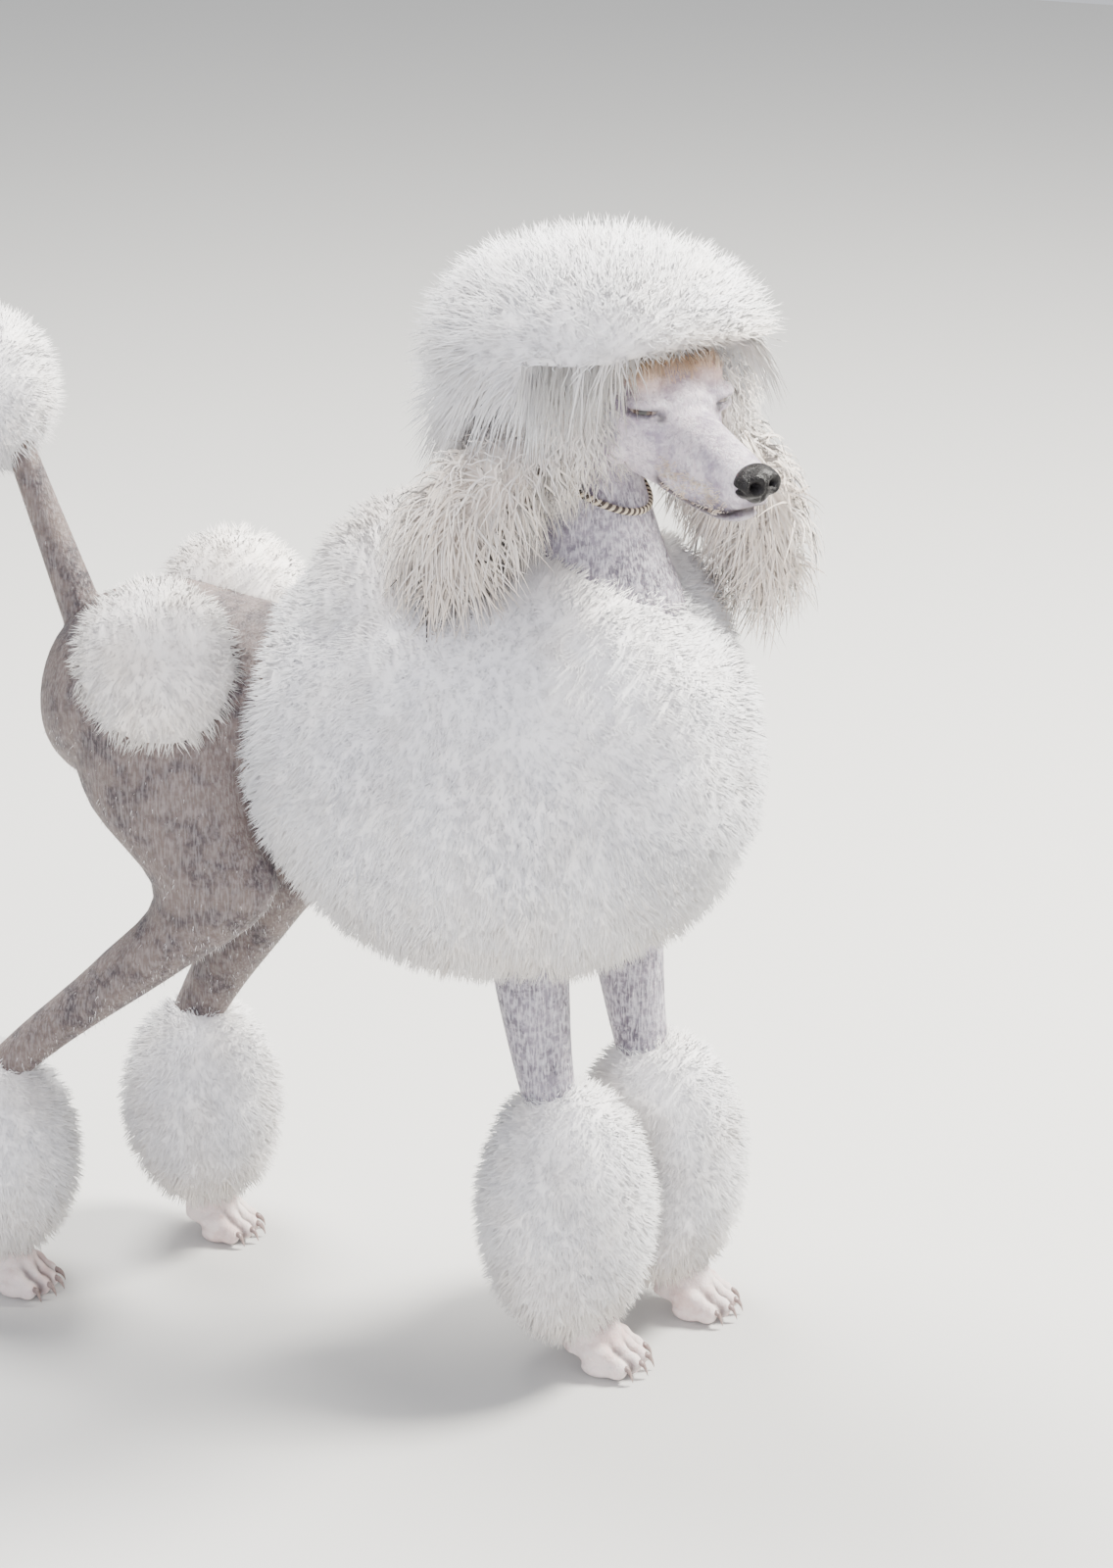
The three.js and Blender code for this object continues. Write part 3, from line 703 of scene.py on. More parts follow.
def carve_nose(co):
    """Millimetres to move each point: the middle groove, the nostrils and their side slits."""
    a, b, c = head_coords(co)
    a, c = a - NOSE_AT[0], c - NOSE_AT[1]
    move = -1.5 * bell(b, 1.1) * ramp(a, 4, 9) * ramp(c, 9, 2)
    for s in SIDES.values():
        hole = np.hypot((s * b - 7.4) / 3.8, (c - 0.5) / 3.2)
        front = ramp(a, 2, 7)
        move += (-6.5 * bell(hole, 0.95) + 0.9 * bell(hole - 2.0, 0.6)) * front
        side_slit = np.hypot((c + 3.6) / 1.5, np.clip(8 - s * b, 0, 99) / 3)
        move += -3.4 * bell(side_slit, 1.0) * ramp(a, 9, 3) * ramp(a, -9, -4) * (s * b > 6)
    return move


def make_nose():
    clay = Clay()
    f, u = NOSE_AT
    ball(clay, on_head(f, 0, u), NOSE_RADII, HEAD_AXES, sides=40, rings=24)
    ball(clay, on_head(f + 1, 0, u - 7), NOSE_LIP_RADII, HEAD_AXES, sides=32, rings=18)
    for s in SIDES.values():
        ball(clay, on_head(f + 1, s * 9, u - 1), NOSE_WING_RADII, HEAD_AXES, sides=32, rings=18)
    made = fused(clay, "nose_leather", NOSE_VOXEL, 6)
    co = coords_of(made.data)
    co += normals_of(made.data) * carve_nose(co)[:, None] * MM
    made.data.vertices.foreach_set("co", co.ravel())
    made.data.update()
    made.data.shade_smooth()
    made.data.materials.append(nose_material())
    return made


nose = make_nose()
print("nose faces", len(nose.data.polygons))

# %% [markdown]
# Four claws stand on each paw. Each is a short curved horn, so a loft of rings that shrink along
# a bent line is the plainest way to make it. Horn is hard and a little glossy, with a streaky
# brown tone.

# %% Claws
CLAW_SPACING = 12.8
CLAW_SIZES = [(2.6, 2.6), (2.4, 2.4), (1.7, 1.8), (0.5, 0.5)]
HORN_STREAK = 2.5


def claw_material():
    material, tree, shader = fresh_material("claw_horn")
    place_at = node(tree, "ShaderNodeTexCoord").outputs["Object"]
    grain = node(tree, "ShaderNodeTexNoise", None, Vector=place_at, Scale=per_metre(HORN_STREAK),
                 Detail=2.0)
    colour = mixed(tree, grain.outputs[0], linear("#5A4A48"), linear("#A08C86"))
    tree.links.new(colour, shader.inputs["Base Color"])
    shader.inputs["Roughness"].default_value = 0.35
    return material


def make_claws():
    clay = Clay()
    for (pair, _), (f, l) in FEET.items():
        scale = 1.0 if pair == "front" else HIND_SCALE
        for step in TOE_STEPS:
            ahead = f + scale * (39.5 - abs(step) * 7)
            aside = l + scale * step * CLAW_SPACING
            line = [place(ahead - 4, aside, 13 * scale), place(ahead + 2, aside, 12 * scale),
                    place(ahead + 5, aside + step, 8 * scale),
                    place(ahead + 6.5, aside + step, 3 * scale)]
            loft(clay, line, CLAW_SIZES, LEFT, UP, steps=8, sides=10)
    mesh = clay.mesh("claws")
    mesh.materials.append(claw_material())
    mesh.shade_smooth()
    made = bpy.data.objects.new("claws", mesh)
    bpy.context.scene.collection.objects.link(made)
    return made


claws = make_claws()
print("claws faces", len(claws.data.polygons))

# %% [markdown]
# The show collar is a fine cord of two strands, one dark and one pale, laid round each other.
# A strand follows a rule, so Geometry Nodes make it: a ring is bent to an oval, each point is
# moved round the ring's own line as it goes, and a round section is swept along it. The same
# tree is used twice, half a turn apart.

# %% Collar strands
COLLAR_AT = (-56, -2, 710)
COLLAR_HALF_WIDTH = 47.0
COLLAR_HALF_DEPTH = 59.0
COLLAR_TILT = 0.55
COLLAR_TURNS = 58
POINTS_PER_TURN = 18
STRAND = 1.45
STRAND_SIZES = {"Half width": COLLAR_HALF_WIDTH * MM, "Half depth": COLLAR_HALF_DEPTH * MM,
                "Strand radius": STRAND * MM, "Twist radius": STRAND * 0.92 * MM,
                "Turns": float(COLLAR_TURNS), "Phase": 0.0}
CORD_LAY = 0.6


def strand_tree():
    tree = bpy.data.node_groups.new("twisted_strand", "GeometryNodeTree")
    face = tree.interface
    for name, value in STRAND_SIZES.items():
        face.new_socket(name, in_out="INPUT", socket_type="NodeSocketFloat").default_value = value
    face.new_socket("Finish", in_out="INPUT", socket_type="NodeSocketMaterial")
    face.new_socket("Strand", in_out="OUTPUT", socket_type="NodeSocketGeometry")
    given = node(tree, "NodeGroupInput").outputs

    def maths(operation, a, b=0.0):
        return node(tree, "ShaderNodeMath", {"operation": operation}, i0=a, i1=b).outputs[0]

    ring = node(tree, "GeometryNodeCurvePrimitiveCircle", None, Radius=1.0,
                Resolution=COLLAR_TURNS * POINTS_PER_TURN)
    along = node(tree, "GeometryNodeSplineParameter").outputs["Factor"]
    angle = maths("MULTIPLY", along, 2 * math.pi)
    twist = maths("ADD", maths("MULTIPLY", angle, given["Turns"]), given["Phase"])
    out = maths("MULTIPLY", maths("COSINE", twist), given["Twist radius"])
    rise = maths("MULTIPLY", maths("SINE", twist), given["Twist radius"])
    x = maths("MULTIPLY", maths("COSINE", angle), maths("ADD", given["Half width"], out))
    y = maths("MULTIPLY", maths("SINE", angle), maths("ADD", given["Half depth"], out))
    spot = node(tree, "ShaderNodeCombineXYZ", None, X=x, Y=y, Z=rise)
    bent = node(tree, "GeometryNodeSetPosition", None, Geometry=ring.outputs[0], Position=spot.outputs[0])
    section = node(tree, "GeometryNodeCurvePrimitiveCircle", None, Resolution=7)
    tree.links.new(given["Strand radius"], section.inputs["Radius"])
    swept = node(tree, "GeometryNodeCurveToMesh", None, Curve=bent.outputs[0],
                 Profile_Curve=section.outputs[0])
    whole = node(tree, "GeometryNodeRealizeInstances", None, Geometry=swept.outputs[0])
    done = node(tree, "GeometryNodeSetMaterial", None, Geometry=whole.outputs[0],
                Material=given["Finish"])
    result = node(tree, "NodeGroupOutput")
    tree.links.new(done.outputs[0], result.inputs[0])
    return tree


def cord_material(name, low, high):
    """Waxed cotton cord: dull, with the fine lay of its threads."""
    material, tree, shader = fresh_material(name)
    place_at = node(tree, "ShaderNodeTexCoord").outputs["Object"]
    lay = node(tree, "ShaderNodeTexNoise", None, Vector=place_at, Scale=per_metre(CORD_LAY), Detail=2.0)
    tree.links.new(mixed(tree, lay.outputs[0], linear(low), linear(high)), shader.inputs["Base Color"])
    bump = node(tree, "ShaderNodeBump", None, Strength=0.6, Distance=0.0003, Height=lay.outputs[0])
    tree.links.new(bump.outputs[0], shader.inputs["Normal"])
    shader.inputs["Roughness"].default_value = 0.55
    return material


def make_strand(name, tree, phase, material):
    holder = bpy.data.objects.new(name, bpy.data.meshes.new(name))
    bpy.context.scene.collection.objects.link(holder)
    modifier = holder.modifiers.new("strand", "NODES")
    modifier.node_group = tree
    values = {**STRAND_SIZES, "Phase": phase, "Finish": material}
    for item in tree.interface.items_tree:
        if item.name in values:
            modifier[item.identifier] = values[item.name]
    applied(holder)
    turn = Matrix.Translation(Vector(place(*COLLAR_AT))) @ Matrix.Rotation(COLLAR_TILT, 4, "X")
    holder.data.transform(turn)
    holder.data.shade_smooth()
    return holder


collar_tree = strand_tree()
dark_strand = make_strand("collar_dark_strand", collar_tree, 0.0,
                          cord_material("waxed_cord_dark", "#2A2320", "#4E423A"))
pale_strand = make_strand("collar_pale_strand", collar_tree, math.pi,
                          cord_material("waxed_cord_pale", "#B9A88C", "#E2D6BE"))
print("collar strand faces", len(dark_strand.data.polygons))

# %% [markdown]
# A coat is two things: a soft underlayer that gives its body, and thousands of fine locks over
# it. The underlayer is fused from the same balls as the solids, a little inside their outline,
# and dented by slow noise. It is unwrapped, so that every lock knows its place on it.

# %% The soft underlayer of a coat
UV_NAME = "OFBake"
SWIRL_SEED = 5
noise.seed_set(SWIRL_SEED)


def wobble(points, size, seed):
    shift = Vector((seed * 3.1, seed * 1.7, seed * 2.3))
    return np.array([noise.fractal(Vector(p) / size + shift, 1.0, 2.0, 3) for p in points])


def swirl(points, size, seed):
    shift = Vector((seed * 2.9, seed * 1.3, seed * 4.1))
    return np.array([noise.noise_vector(Vector(p) / size + shift) for p in points])


def unwrapped(obj):
    for other in bpy.context.selected_objects:
        other.select_set(False)
    bpy.context.view_layer.objects.active = obj
    obj.select_set(True)
    bpy.ops.object.mode_set(mode="EDIT")
    bpy.ops.mesh.select_all(action="SELECT")
    bpy.ops.uv.smart_project(angle_limit=math.radians(66), island_margin=0.01)
    bpy.ops.object.mode_set(mode="OBJECT")
    obj.data.uv_layers.active.name = UV_NAME


def hair_colours(mesh, along, chance, tint):
    shade = np.ones((len(mesh.vertices), 4))
    shade[:, 0] = along
    shade[:, 1] = chance
    shade[:, 2] = tint
    layer = mesh.color_attributes.new("hair", "FLOAT_COLOR", "POINT")
    layer.data.foreach_set("color", shade.ravel())


def underlayer(name, clay, voxel, dents, dent_size, seed, shape=None, rounds=8):
    obj = fused(clay, name, voxel * MM, rounds)
    co = coords_of(obj.data)
    co += normals_of(obj.data) * (wobble(co, dent_size * MM, seed) * dents * MM)[:, None]
    if shape is not None:
        co = shape(co)
    obj.data.vertices.foreach_set("co", co.ravel())
    obj.data.update()
    obj.data.shade_smooth()
    unwrapped(obj)
    return obj


def triangles_of(mesh):
    mesh.calc_loop_triangles()
    tri = np.empty(len(mesh.loop_triangles) * 3, dtype=np.int64)
    mesh.loop_triangles.foreach_get("vertices", tri)
    return tri.reshape(-1, 3)


class Roots:
    """Places where locks grow on a form, with the form's smooth normal and unwrap at each."""

    def __init__(self, mesh, count, rng, keep=None):
        co, no, tri = coords_of(mesh), normals_of(mesh), triangles_of(mesh)
        a, b, c = co[tri[:, 0]], co[tri[:, 1]], co[tri[:, 2]]
        cross = np.cross(b - a, c - a)
        area = np.linalg.norm(cross, axis=1)
        if keep is not None:
            area = area * keep((a + b + c) / 3, unit(cross))
        pick = rng.choice(len(tri), size=count, p=area / area.sum())
        r1, r2 = np.sqrt(rng.random(count))[:, None], rng.random(count)[:, None]
        w = np.concatenate([1 - r1, r1 * (1 - r2), r1 * r2], axis=1)
        self.at = np.einsum("ij,ijk->ik", w, co[tri[pick]])
        self.out = unit(np.einsum("ij,ijk->ik", w, no[tri[pick]]))
        loops = np.empty(len(mesh.loop_triangles) * 3, dtype=np.int64)
        mesh.loop_triangles.foreach_get("loops", loops)
        uv = np.empty(len(mesh.loops) * 2)
        mesh.uv_layers[UV_NAME].data.foreach_get("uv", uv)
        self.uv = np.einsum("ij,ijk->ik", w, uv.reshape(-1, 2)[loops.reshape(-1, 3)[pick]])

    def only(self, keep):
        """The same roots without those left out."""
        part = Roots.__new__(Roots)
        part.at, part.out, part.uv = self.at[keep], self.out[keep], self.uv[keep]
        return part


def gathered(points, crowd, rng):
    """From each root to the middle of its clump, which holds about crowd times crowd roots."""
    middles = rng.permutation(len(points))[:int(len(points) / crowd ** 2) + 1]
    tree = KDTree(len(middles))
    for k, i in enumerate(middles):
        tree.insert(Vector(points[i]), k)
    tree.balance()
    return np.array([tree.find(Vector(p))[0] for p in points]) - points


# %% [markdown]
# A lock has a root, a way it grows, a pull toward where it hangs or gathers, and a crimp: a
# small wave along its length. All locks of a coat are worked out together as arrays and made
# one mesh, a thin tube of three sides for each. A lock's map coordinates are a tiny patch at its
# root's place. Its shading leans toward the form's own normal, so that the coat reads as soft.

# %% Locks of hair as one mesh
ATLAS_PATCH = 0.003
SUNK = 2.0
SOFTNESS = 0.88


def lock_faces(segments):
    faces = [(0, 2, 1)]
    for s in range(segments - 1):
        for k in range(3):
            a, b = s * 3 + k, s * 3 + (k + 1) % 3
            faces += [(a, b, b + 3), (a, b + 3, a + 3)]
    top = (segments - 1) * 3
    faces += [(top + k, top + (k + 1) % 3, top + 3) for k in range(3)]
    return np.array(faces)


def locks(name, roots, grow, pull, length, width, rng, tint=0.2, crimp=0.0, crimp_length=12.0,
          segments=3):
    """Thin tapered tubes. Length, width and crimp are in millimetres, pull in metres at the tip."""
    n = len(roots.at)
    t = np.linspace(0, 1, segments + 1)[None, :, None]
    grow = unit(grow)
    side = unit(np.cross(grow, rng.normal(size=(n, 3))))
    other = unit(np.cross(grow, side))
    length = (np.broadcast_to(length, n) * MM)[:, None, None]
    wave = 2 * math.pi * (length / (crimp_length * MM) * t + rng.random(n)[:, None, None])
    start = roots.at - roots.out * SUNK * MM
    spine = (start[:, None] + grow[:, None] * length * t + pull[:, None] * t ** 2
             + (side[:, None] * np.sin(wave) + other[:, None] * np.cos(wave)) * crimp * MM * t ** 0.5)
    half = (np.broadcast_to(width, n) * MM / 2)[:, None, None] * (1 - t[:, :-1]) ** 0.55
    turn = rng.random(n)[:, None, None] * 2 * math.pi
    spokes = [np.cos(turn + k * math.pi * 2 / 3) * side[:, None]
              + np.sin(turn + k * math.pi * 2 / 3) * other[:, None] for k in range(3)]
    ring = np.stack([spine[:, :-1] + half * spoke for spoke in spokes], axis=2).reshape(n, -1, 3)
    points = np.concatenate([ring, spine[:, -1:]], axis=1)
    per = points.shape[1]
    index = (lock_faces(segments)[None] + (np.arange(n) * per)[:, None, None]).reshape(-1, 3)
    mesh = bpy.data.meshes.new(name)
    mesh.vertices.add(n * per)
    mesh.vertices.foreach_set("co", points.ravel())
    mesh.loops.add(index.size)
    mesh.loops.foreach_set("vertex_index", index.ravel().astype(np.int32))
    mesh.polygons.add(len(index))
    mesh.polygons.foreach_set("loop_start", np.arange(0, index.size, 3, dtype=np.int32))
    mesh.update(calc_edges=True)
    along = np.concatenate([np.repeat(np.linspace(0, 1, segments, endpoint=False), 3), [1.0]])
    hair_colours(mesh, np.tile(along, n), np.repeat(rng.random(n), per),
                 np.repeat(np.broadcast_to(tint, n), per))
    patch = np.stack([along, np.append(np.tile([0.0, 0.5, 1.0], segments), 0.5)], axis=1) * ATLAS_PATCH
    uv = (roots.uv[:, None] + patch[None]).reshape(-1, 2)[index.ravel()]
    mesh.uv_layers.new(name=UV_NAME).data.foreach_set("uv", uv.astype(np.float32).ravel())
    mesh.shade_smooth()
    radial = np.tile(np.stack(spokes, axis=2), (1, segments, 1, 1)).reshape(n, -1, 3)
    radial = np.concatenate([radial, grow[:, None]], axis=1)
    soft = unit(radial * (1 - SOFTNESS) + roots.out[:, None] * SOFTNESS)
    mesh.normals_split_custom_set_from_vertices(soft.reshape(-1, 3).tolist())
    obj = bpy.data.objects.new(name, mesh)
    bpy.context.scene.collection.objects.link(obj)
    return obj


# %% [markdown]
# Poodle hair is dull white, warmer where it is long or low, and tan over the brow. Its roots are
# painted a little darker than its tips, as painted shade deep in the coat, and the underlayers get
# part of that shade. Fine hair scatters light and hardly shines, which a rough surface with a soft
# sheen stands for. Patches of warmer hair are 45 mm across.

# %% Coat hair
WARM_PATCH = 45


def coat_hair(name, cool, warm, tan):
    material, tree, shader = fresh_material(name)
    hair = node(tree, "ShaderNodeAttribute", {"attribute_name": "hair"})
    part = node(tree, "ShaderNodeSeparateColor", i0=hair.outputs["Color"]).outputs
    place_at = node(tree, "ShaderNodeTexCoord").outputs["Object"]
    patch = node(tree, "ShaderNodeTexNoise", None, Vector=place_at, Scale=per_metre(WARM_PATCH),
                 Detail=3.0)
    warmth = node(tree, "ShaderNodeMath", {"operation": "ADD"}, i0=part[2],
                  i1=times(tree, stepped(tree, patch.outputs[0], 0.4, 0.7), 0.12)).outputs[0]
    low = stepped(tree, warmth, 0.0, 0.55)
    high = stepped(tree, warmth, 0.5, 1.0)
    colour = mixed(tree, low, linear(cool), linear(warm))
    colour = mixed(tree, high, colour, linear(tan))
    # Painted shade: each lock is darkened toward its root, deep in the coat, and the underlayers get part
    # of it.
    root = times(tree, stepped(tree, part[0], 0.75, 0.0), 0.22)
    colour = mixed(tree, root, colour, linear("#E4DAD2"))
    colour = mixed(tree, times(tree, part[1], 0.08), colour, linear("#DFD8DB"))
    tree.links.new(colour, shader.inputs["Base Color"])
    shader.inputs["Roughness"].default_value = 0.8
    shader.inputs["Specular IOR Level"].default_value = 0.25
    shader.inputs["Sheen Weight"].default_value = 0.35
    shader.inputs["Sheen Roughness"].default_value = 0.5
    return material


white_coat = coat_hair("poodle_hair_white", "#FAFAFC", "#F1E7DB", "#DDB992")
cream_coat = coat_hair("poodle_hair_cream", "#F4EEE8", "#EADBCB", "#D2AF8B")
coat_pieces = []


def coat_piece(obj, material, replaced=None):
    obj.data.materials.append(material)
    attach(obj, "root")
    if replaced:
        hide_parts(replaced)
    coat_pieces.append(obj)


# %% [markdown]
# The mane is one great soft ball round the chest, with fuller shoulders and a ridge up the nape.
# Its locks are short and stand out, drooping only a little. They are parted into four pieces
# by quarter, because a piece must stay small enough to be written out.

# %% Mane
MANE_BALLS = [((-120, -12, 484), (168, 210, 184)), ((-170, -17, 588), (112, 104, 92)),
              ((-112, 0, 636), (70, 74, 92)), ((-45, 62, 556), (64, 88, 92)),
              ((-58, -62, 556), (64, 88, 92))]
MANE_REAR = -314
MANE_TUCK = 0.94
MANE_INSET = 9
MANE_LOCKS = 49000
MANE_LENGTH = 14.5
MANE_WIDTH = 1.5


def inset_balls(balls, inset):
    clay = Clay()
    for centre, radii in balls:
        ball(clay, place(*centre), [r - inset for r in radii], sides=36, rings=24)
    return clay


def mane_shape(co):
    """Draw the back and the belly in a little, and cut the back off flat at the loin."""
    f, _, z = dog_coords(co)
    waist, belly = MANE_BALLS[0][0][0], MANE_BALLS[0][0][2]
    f = np.maximum(np.where(f < waist, waist + (f - waist) * MANE_TUCK, f), MANE_REAR)
    z = np.where(z < belly, belly + (z - belly) * MANE_TUCK, z)
    return np.stack([co[:, 0], origin_y - f * MM, z * MM], axis=1)


def mane_warmth(points):
    z = points[:, 2] / MM
    return 0.04 + 0.36 * ramp(z, 440, 300) + 0.30 * ramp(z, 590, 680)


def make_mane():
    rng = np.random.default_rng(11)
    base = underlayer("mane_underlayer", inset_balls(MANE_BALLS, MANE_INSET), 6.0, 4.8, 62, 3,
                      mane_shape, rounds=16)
    co = coords_of(base.data)
    hair_colours(base.data, 0.3, 0.5, mane_warmth(co))
    coat_piece(base, white_coat, replaced="mane")
    roots = Roots(base.data, MANE_LOCKS, rng)
    f, l, _ = dog_coords(roots.at)
    clumps = gathered(roots.at, 3.4, rng)
    stray = swirl(roots.at, 0.05, 5) * 0.38 + rng.normal(size=roots.at.shape) * 0.12
    grow = roots.out - UP * 0.30 + stray
    length = MANE_LENGTH * rng.uniform(0.6, 1.15, MANE_LOCKS) * (1 + 0.14 * wobble(roots.at, 0.05, 8))
    pull = clumps * 0.5 - UP * (length * 0.12 * MM)[:, None]
    quarter = (f > -120).astype(int) * 2 + (l > -12)
    for k in range(4):
        mine = quarter == k
        part = locks(f"mane_locks_{k + 1}", roots.only(mine), grow[mine], pull[mine], length[mine],
                     MANE_WIDTH, rng, tint=mane_warmth(roots.at[mine]), crimp=0.5, crimp_length=17,
                     segments=2)
        coat_piece(part, white_coat)
    return base


mane_base = make_mane()
print("mane pieces", len(coat_pieces), "underlayer faces", len(mane_base.data.polygons))

# %% [markdown]
# The topknot is brushed out from the skull all round, like a dandelion. Its locks are the
# longest and finest of the standing coat. In front it is cut off along a slanting plane that
# clears the brow, and there the hair is tan. At the sides and the back its lowest locks hang
# down over the roots of the ears.

# %% Topknot
TOPKNOT_BALLS = [((-42, -2, 800), (116, 130, 79)), ((-112, 0, 770), (84, 62, 60))]
BROW_EDGE = (38, 46)
BROW_SLOPE = 0.2
FOREHEAD = (32, 42, 1.4)
TOPKNOT_LOW_FRONT = 768
TOPKNOT_LOW_BACK = 738
TOPKNOT_INSET = 18
TOPKNOT_LOCKS = 11800
TOPKNOT_LENGTH = 26
TOPKNOT_WIDTH = 1.4


def above_brow(points):
    """Height in millimetres above the plane that the topknot is cut along."""
    s, _, u = head_coords(points)
    return u - BROW_EDGE[1] - (s - BROW_EDGE[0]) * BROW_SLOPE


def topknot_shape(co):
    """Cut the underlayer along the brow, slope it back over the forehead and flatten it below."""
    low = above_brow(co)
    s, _, u = head_coords(co)
    co = co + (np.maximum(5 - low, 0) * (s > 0))[:, None] * h_up * MM
    front, base, rate = FOREHEAD
    over = np.maximum(s - front - np.maximum(u - base, 0) * rate, 0)
    co = co - over[:, None] * h_forward * MM
    behind = dog_coords(co)[0] <= -110
    floor = np.where(behind, TOPKNOT_LOW_BACK, TOPKNOT_LOW_FRONT) + 4
    co[:, 2] = np.maximum(co[:, 2], floor * MM)
    return co


def brow_tint(points):
    s, l, _ = head_coords(points)
    brow = bell(above_brow(points) - 4, 14) * ramp(s, 5, 30) * bell(l, 60)
    return 0.06 + 0.55 * brow


def make_topknot():
    rng = np.random.default_rng(23)
    base = underlayer("topknot_underlayer", inset_balls(TOPKNOT_BALLS, TOPKNOT_INSET), 5.0, 3.0, 45, 7,
                      topknot_shape)
    hair_colours(base.data, 0.3, 0.5, brow_tint(coords_of(base.data)))
    coat_piece(base, white_coat, replaced="topknot")
    roots = Roots(base.data, TOPKNOT_LOCKS, rng)
    away = unit(roots.at - on_head(-30, 0, 15))
    stray = swirl(roots.at, 0.03, 9) * 0.3 + rng.normal(size=away.shape) * 0.16
    under = ramp(roots.out @ UP, 0.1, -0.6)
    s, l, _ = head_coords(roots.at)
    hangs = under * np.maximum(ramp(s, 26, 6), ramp(np.abs(l), 40, 54))
    grow = away * 0.6 + roots.out * 0.4 + stray - UP * hangs[:, None] * 0.9
    share = rng.uniform(0.4, 1.2, TOPKNOT_LOCKS)
    length = TOPKNOT_LENGTH * share * (1 - 0.55 * under + 1.15 * hangs)
    fall = -UP * (length * (0.10 + 0.25 * hangs) * MM)[:, None]
    pull = gathered(roots.at, 4.0, rng) * 0.45 + fall
    part = locks("topknot_locks", roots, grow, pull, length, TOPKNOT_WIDTH, rng,
                 tint=brow_tint(roots.at), crimp=1.2, crimp_length=18)
    coat_piece(part, white_coat)


make_topknot()
print("coat pieces so far", len(coat_pieces))

# %% [markdown]
# An ear is a thin leather that hangs from the skull, with long crimped hair all over it. The
# leather is a loft with a ball of thick hair at its root, the crest. The locks grow outward
# from it and then fall, each to its own length, and turn from white to cream on the way down.

# %% Ears
EAR_PATHS = {"left": [(-6, 45, 758), (24, 70, 718), (46, 88, 664), (52, 92, 612)],
             "right": [(-52, -52, 758), (-82, -76, 732), (-112, -92, 690), (-126, -98, 644)]}
EAR_SIZES = [(20, 8), (32, 10), (33, 9), (19, 5)]
EAR_LEAN = {"left": -6, "right": 2}
EAR_END = {"left": 552, "right": 572}
EAR_CREST = (32, 38, 40)
EAR_CREST_AT = (-20, 56, 4)
EAR_PADDING = 8
EAR_LOCKS = 2900
EAR_LENGTHS = (18, 54)
EAR_WIDTHS = (1.3, 2.5)


def make_ear_leather(side):
    across = unit(h_forward + FORWARD * 0.5)
    through = unit(np.cross(across, UP))
    clay = Clay()
    line = [place(*p) for p in EAR_PATHS[side]]
    loft(clay, line, [(a, b + EAR_PADDING) for a, b in EAR_SIZES], across, through, steps=24)
    f, l, u = EAR_CREST_AT
    ball(clay, on_head(f, SIDES[side] * l, u), EAR_CREST, HEAD_AXES)
    base = underlayer(f"ear_{side}_leather", clay, 3.5, 2.5, 30, 13, rounds=6)
    crest_tint = 0.4 - 0.3 * ramp(coords_of(base.data)[:, 2] / MM, 720, 765)
    hair_colours(base.data, 0.3, 0.5, crest_tint)
    coat_piece(base, cream_coat, f"ear_{side}")
    return base


def make_ear(side):
    rng = np.random.default_rng(31 + int(SIDES[side]))
    roots = Roots(make_ear_leather(side).data, EAR_LOCKS, rng)
    z = roots.at[:, 2] / MM
    crest = ramp(z, 715, 750)
    stray = swirl(roots.at, 0.022, 4) * 0.8 + rng.normal(size=roots.out.shape) * 0.28
    grow = roots.out * 0.55 - UP * 0.4 + stray
    free = (z - EAR_END[side]) * rng.uniform(0.5, 1.0, EAR_LOCKS)
    length = np.clip(free, *EAR_LENGTHS) * (1 - 0.5 * crest)
    fall = -UP * (length * 0.5 * MM)[:, None] + FORWARD * EAR_LEAN[side] * 0.5 * MM
    tuck = -roots.out * (length * 0.38 * (1 - crest) * MM)[:, None]
    pull = gathered(roots.at, 4.5, rng) * 0.5 + fall + tuck
    width = rng.uniform(*EAR_WIDTHS, EAR_LOCKS)
    tint = rng.uniform(0.1, 0.5, EAR_LOCKS) * (1 - 0.6 * crest)
    part = locks(f"ear_{side}_locks", roots, grow, pull, length, width, rng, tint=tint, crimp=2.3,
                 crimp_length=10, segments=6)
    coat_piece(part, cream_coat)


for ear_side in SIDES:
    make_ear(ear_side)
print("coat pieces so far", len(coat_pieces))

# %% [markdown]
# The bracelets, the rosettes on the hips and the pompom on the tail are small round coats made
# the same way, so one function dresses them all. A bracelet keeps to its own side of the dog.

# %% Bracelets, rosettes and pompom
FRONT_BRACELET = {"radii": (69, 72, 112), "bottom": 20, "back": 28}
REAR_BRACELET = {"radii": (64, 68, 96), "bottom": 28, "back": 10}
HIND_MIDDLE = (FEET["rear", "left"][1] + FEET["rear", "right"][1]) / 2
ROSETTE_RADII = (60, 68, 70)
ROSETTE_AT = (-352, 64, 546)
POMPOM_AT = (-518, -44, 722)
POMPOM_RADII = (58, 58, 66)
SMALL_INSET = 9
SMALL_LENGTH = 14
SMALL_WIDTH = 1.4
BRACELET_LOCKS = {"front": 11500, "rear": 9500}


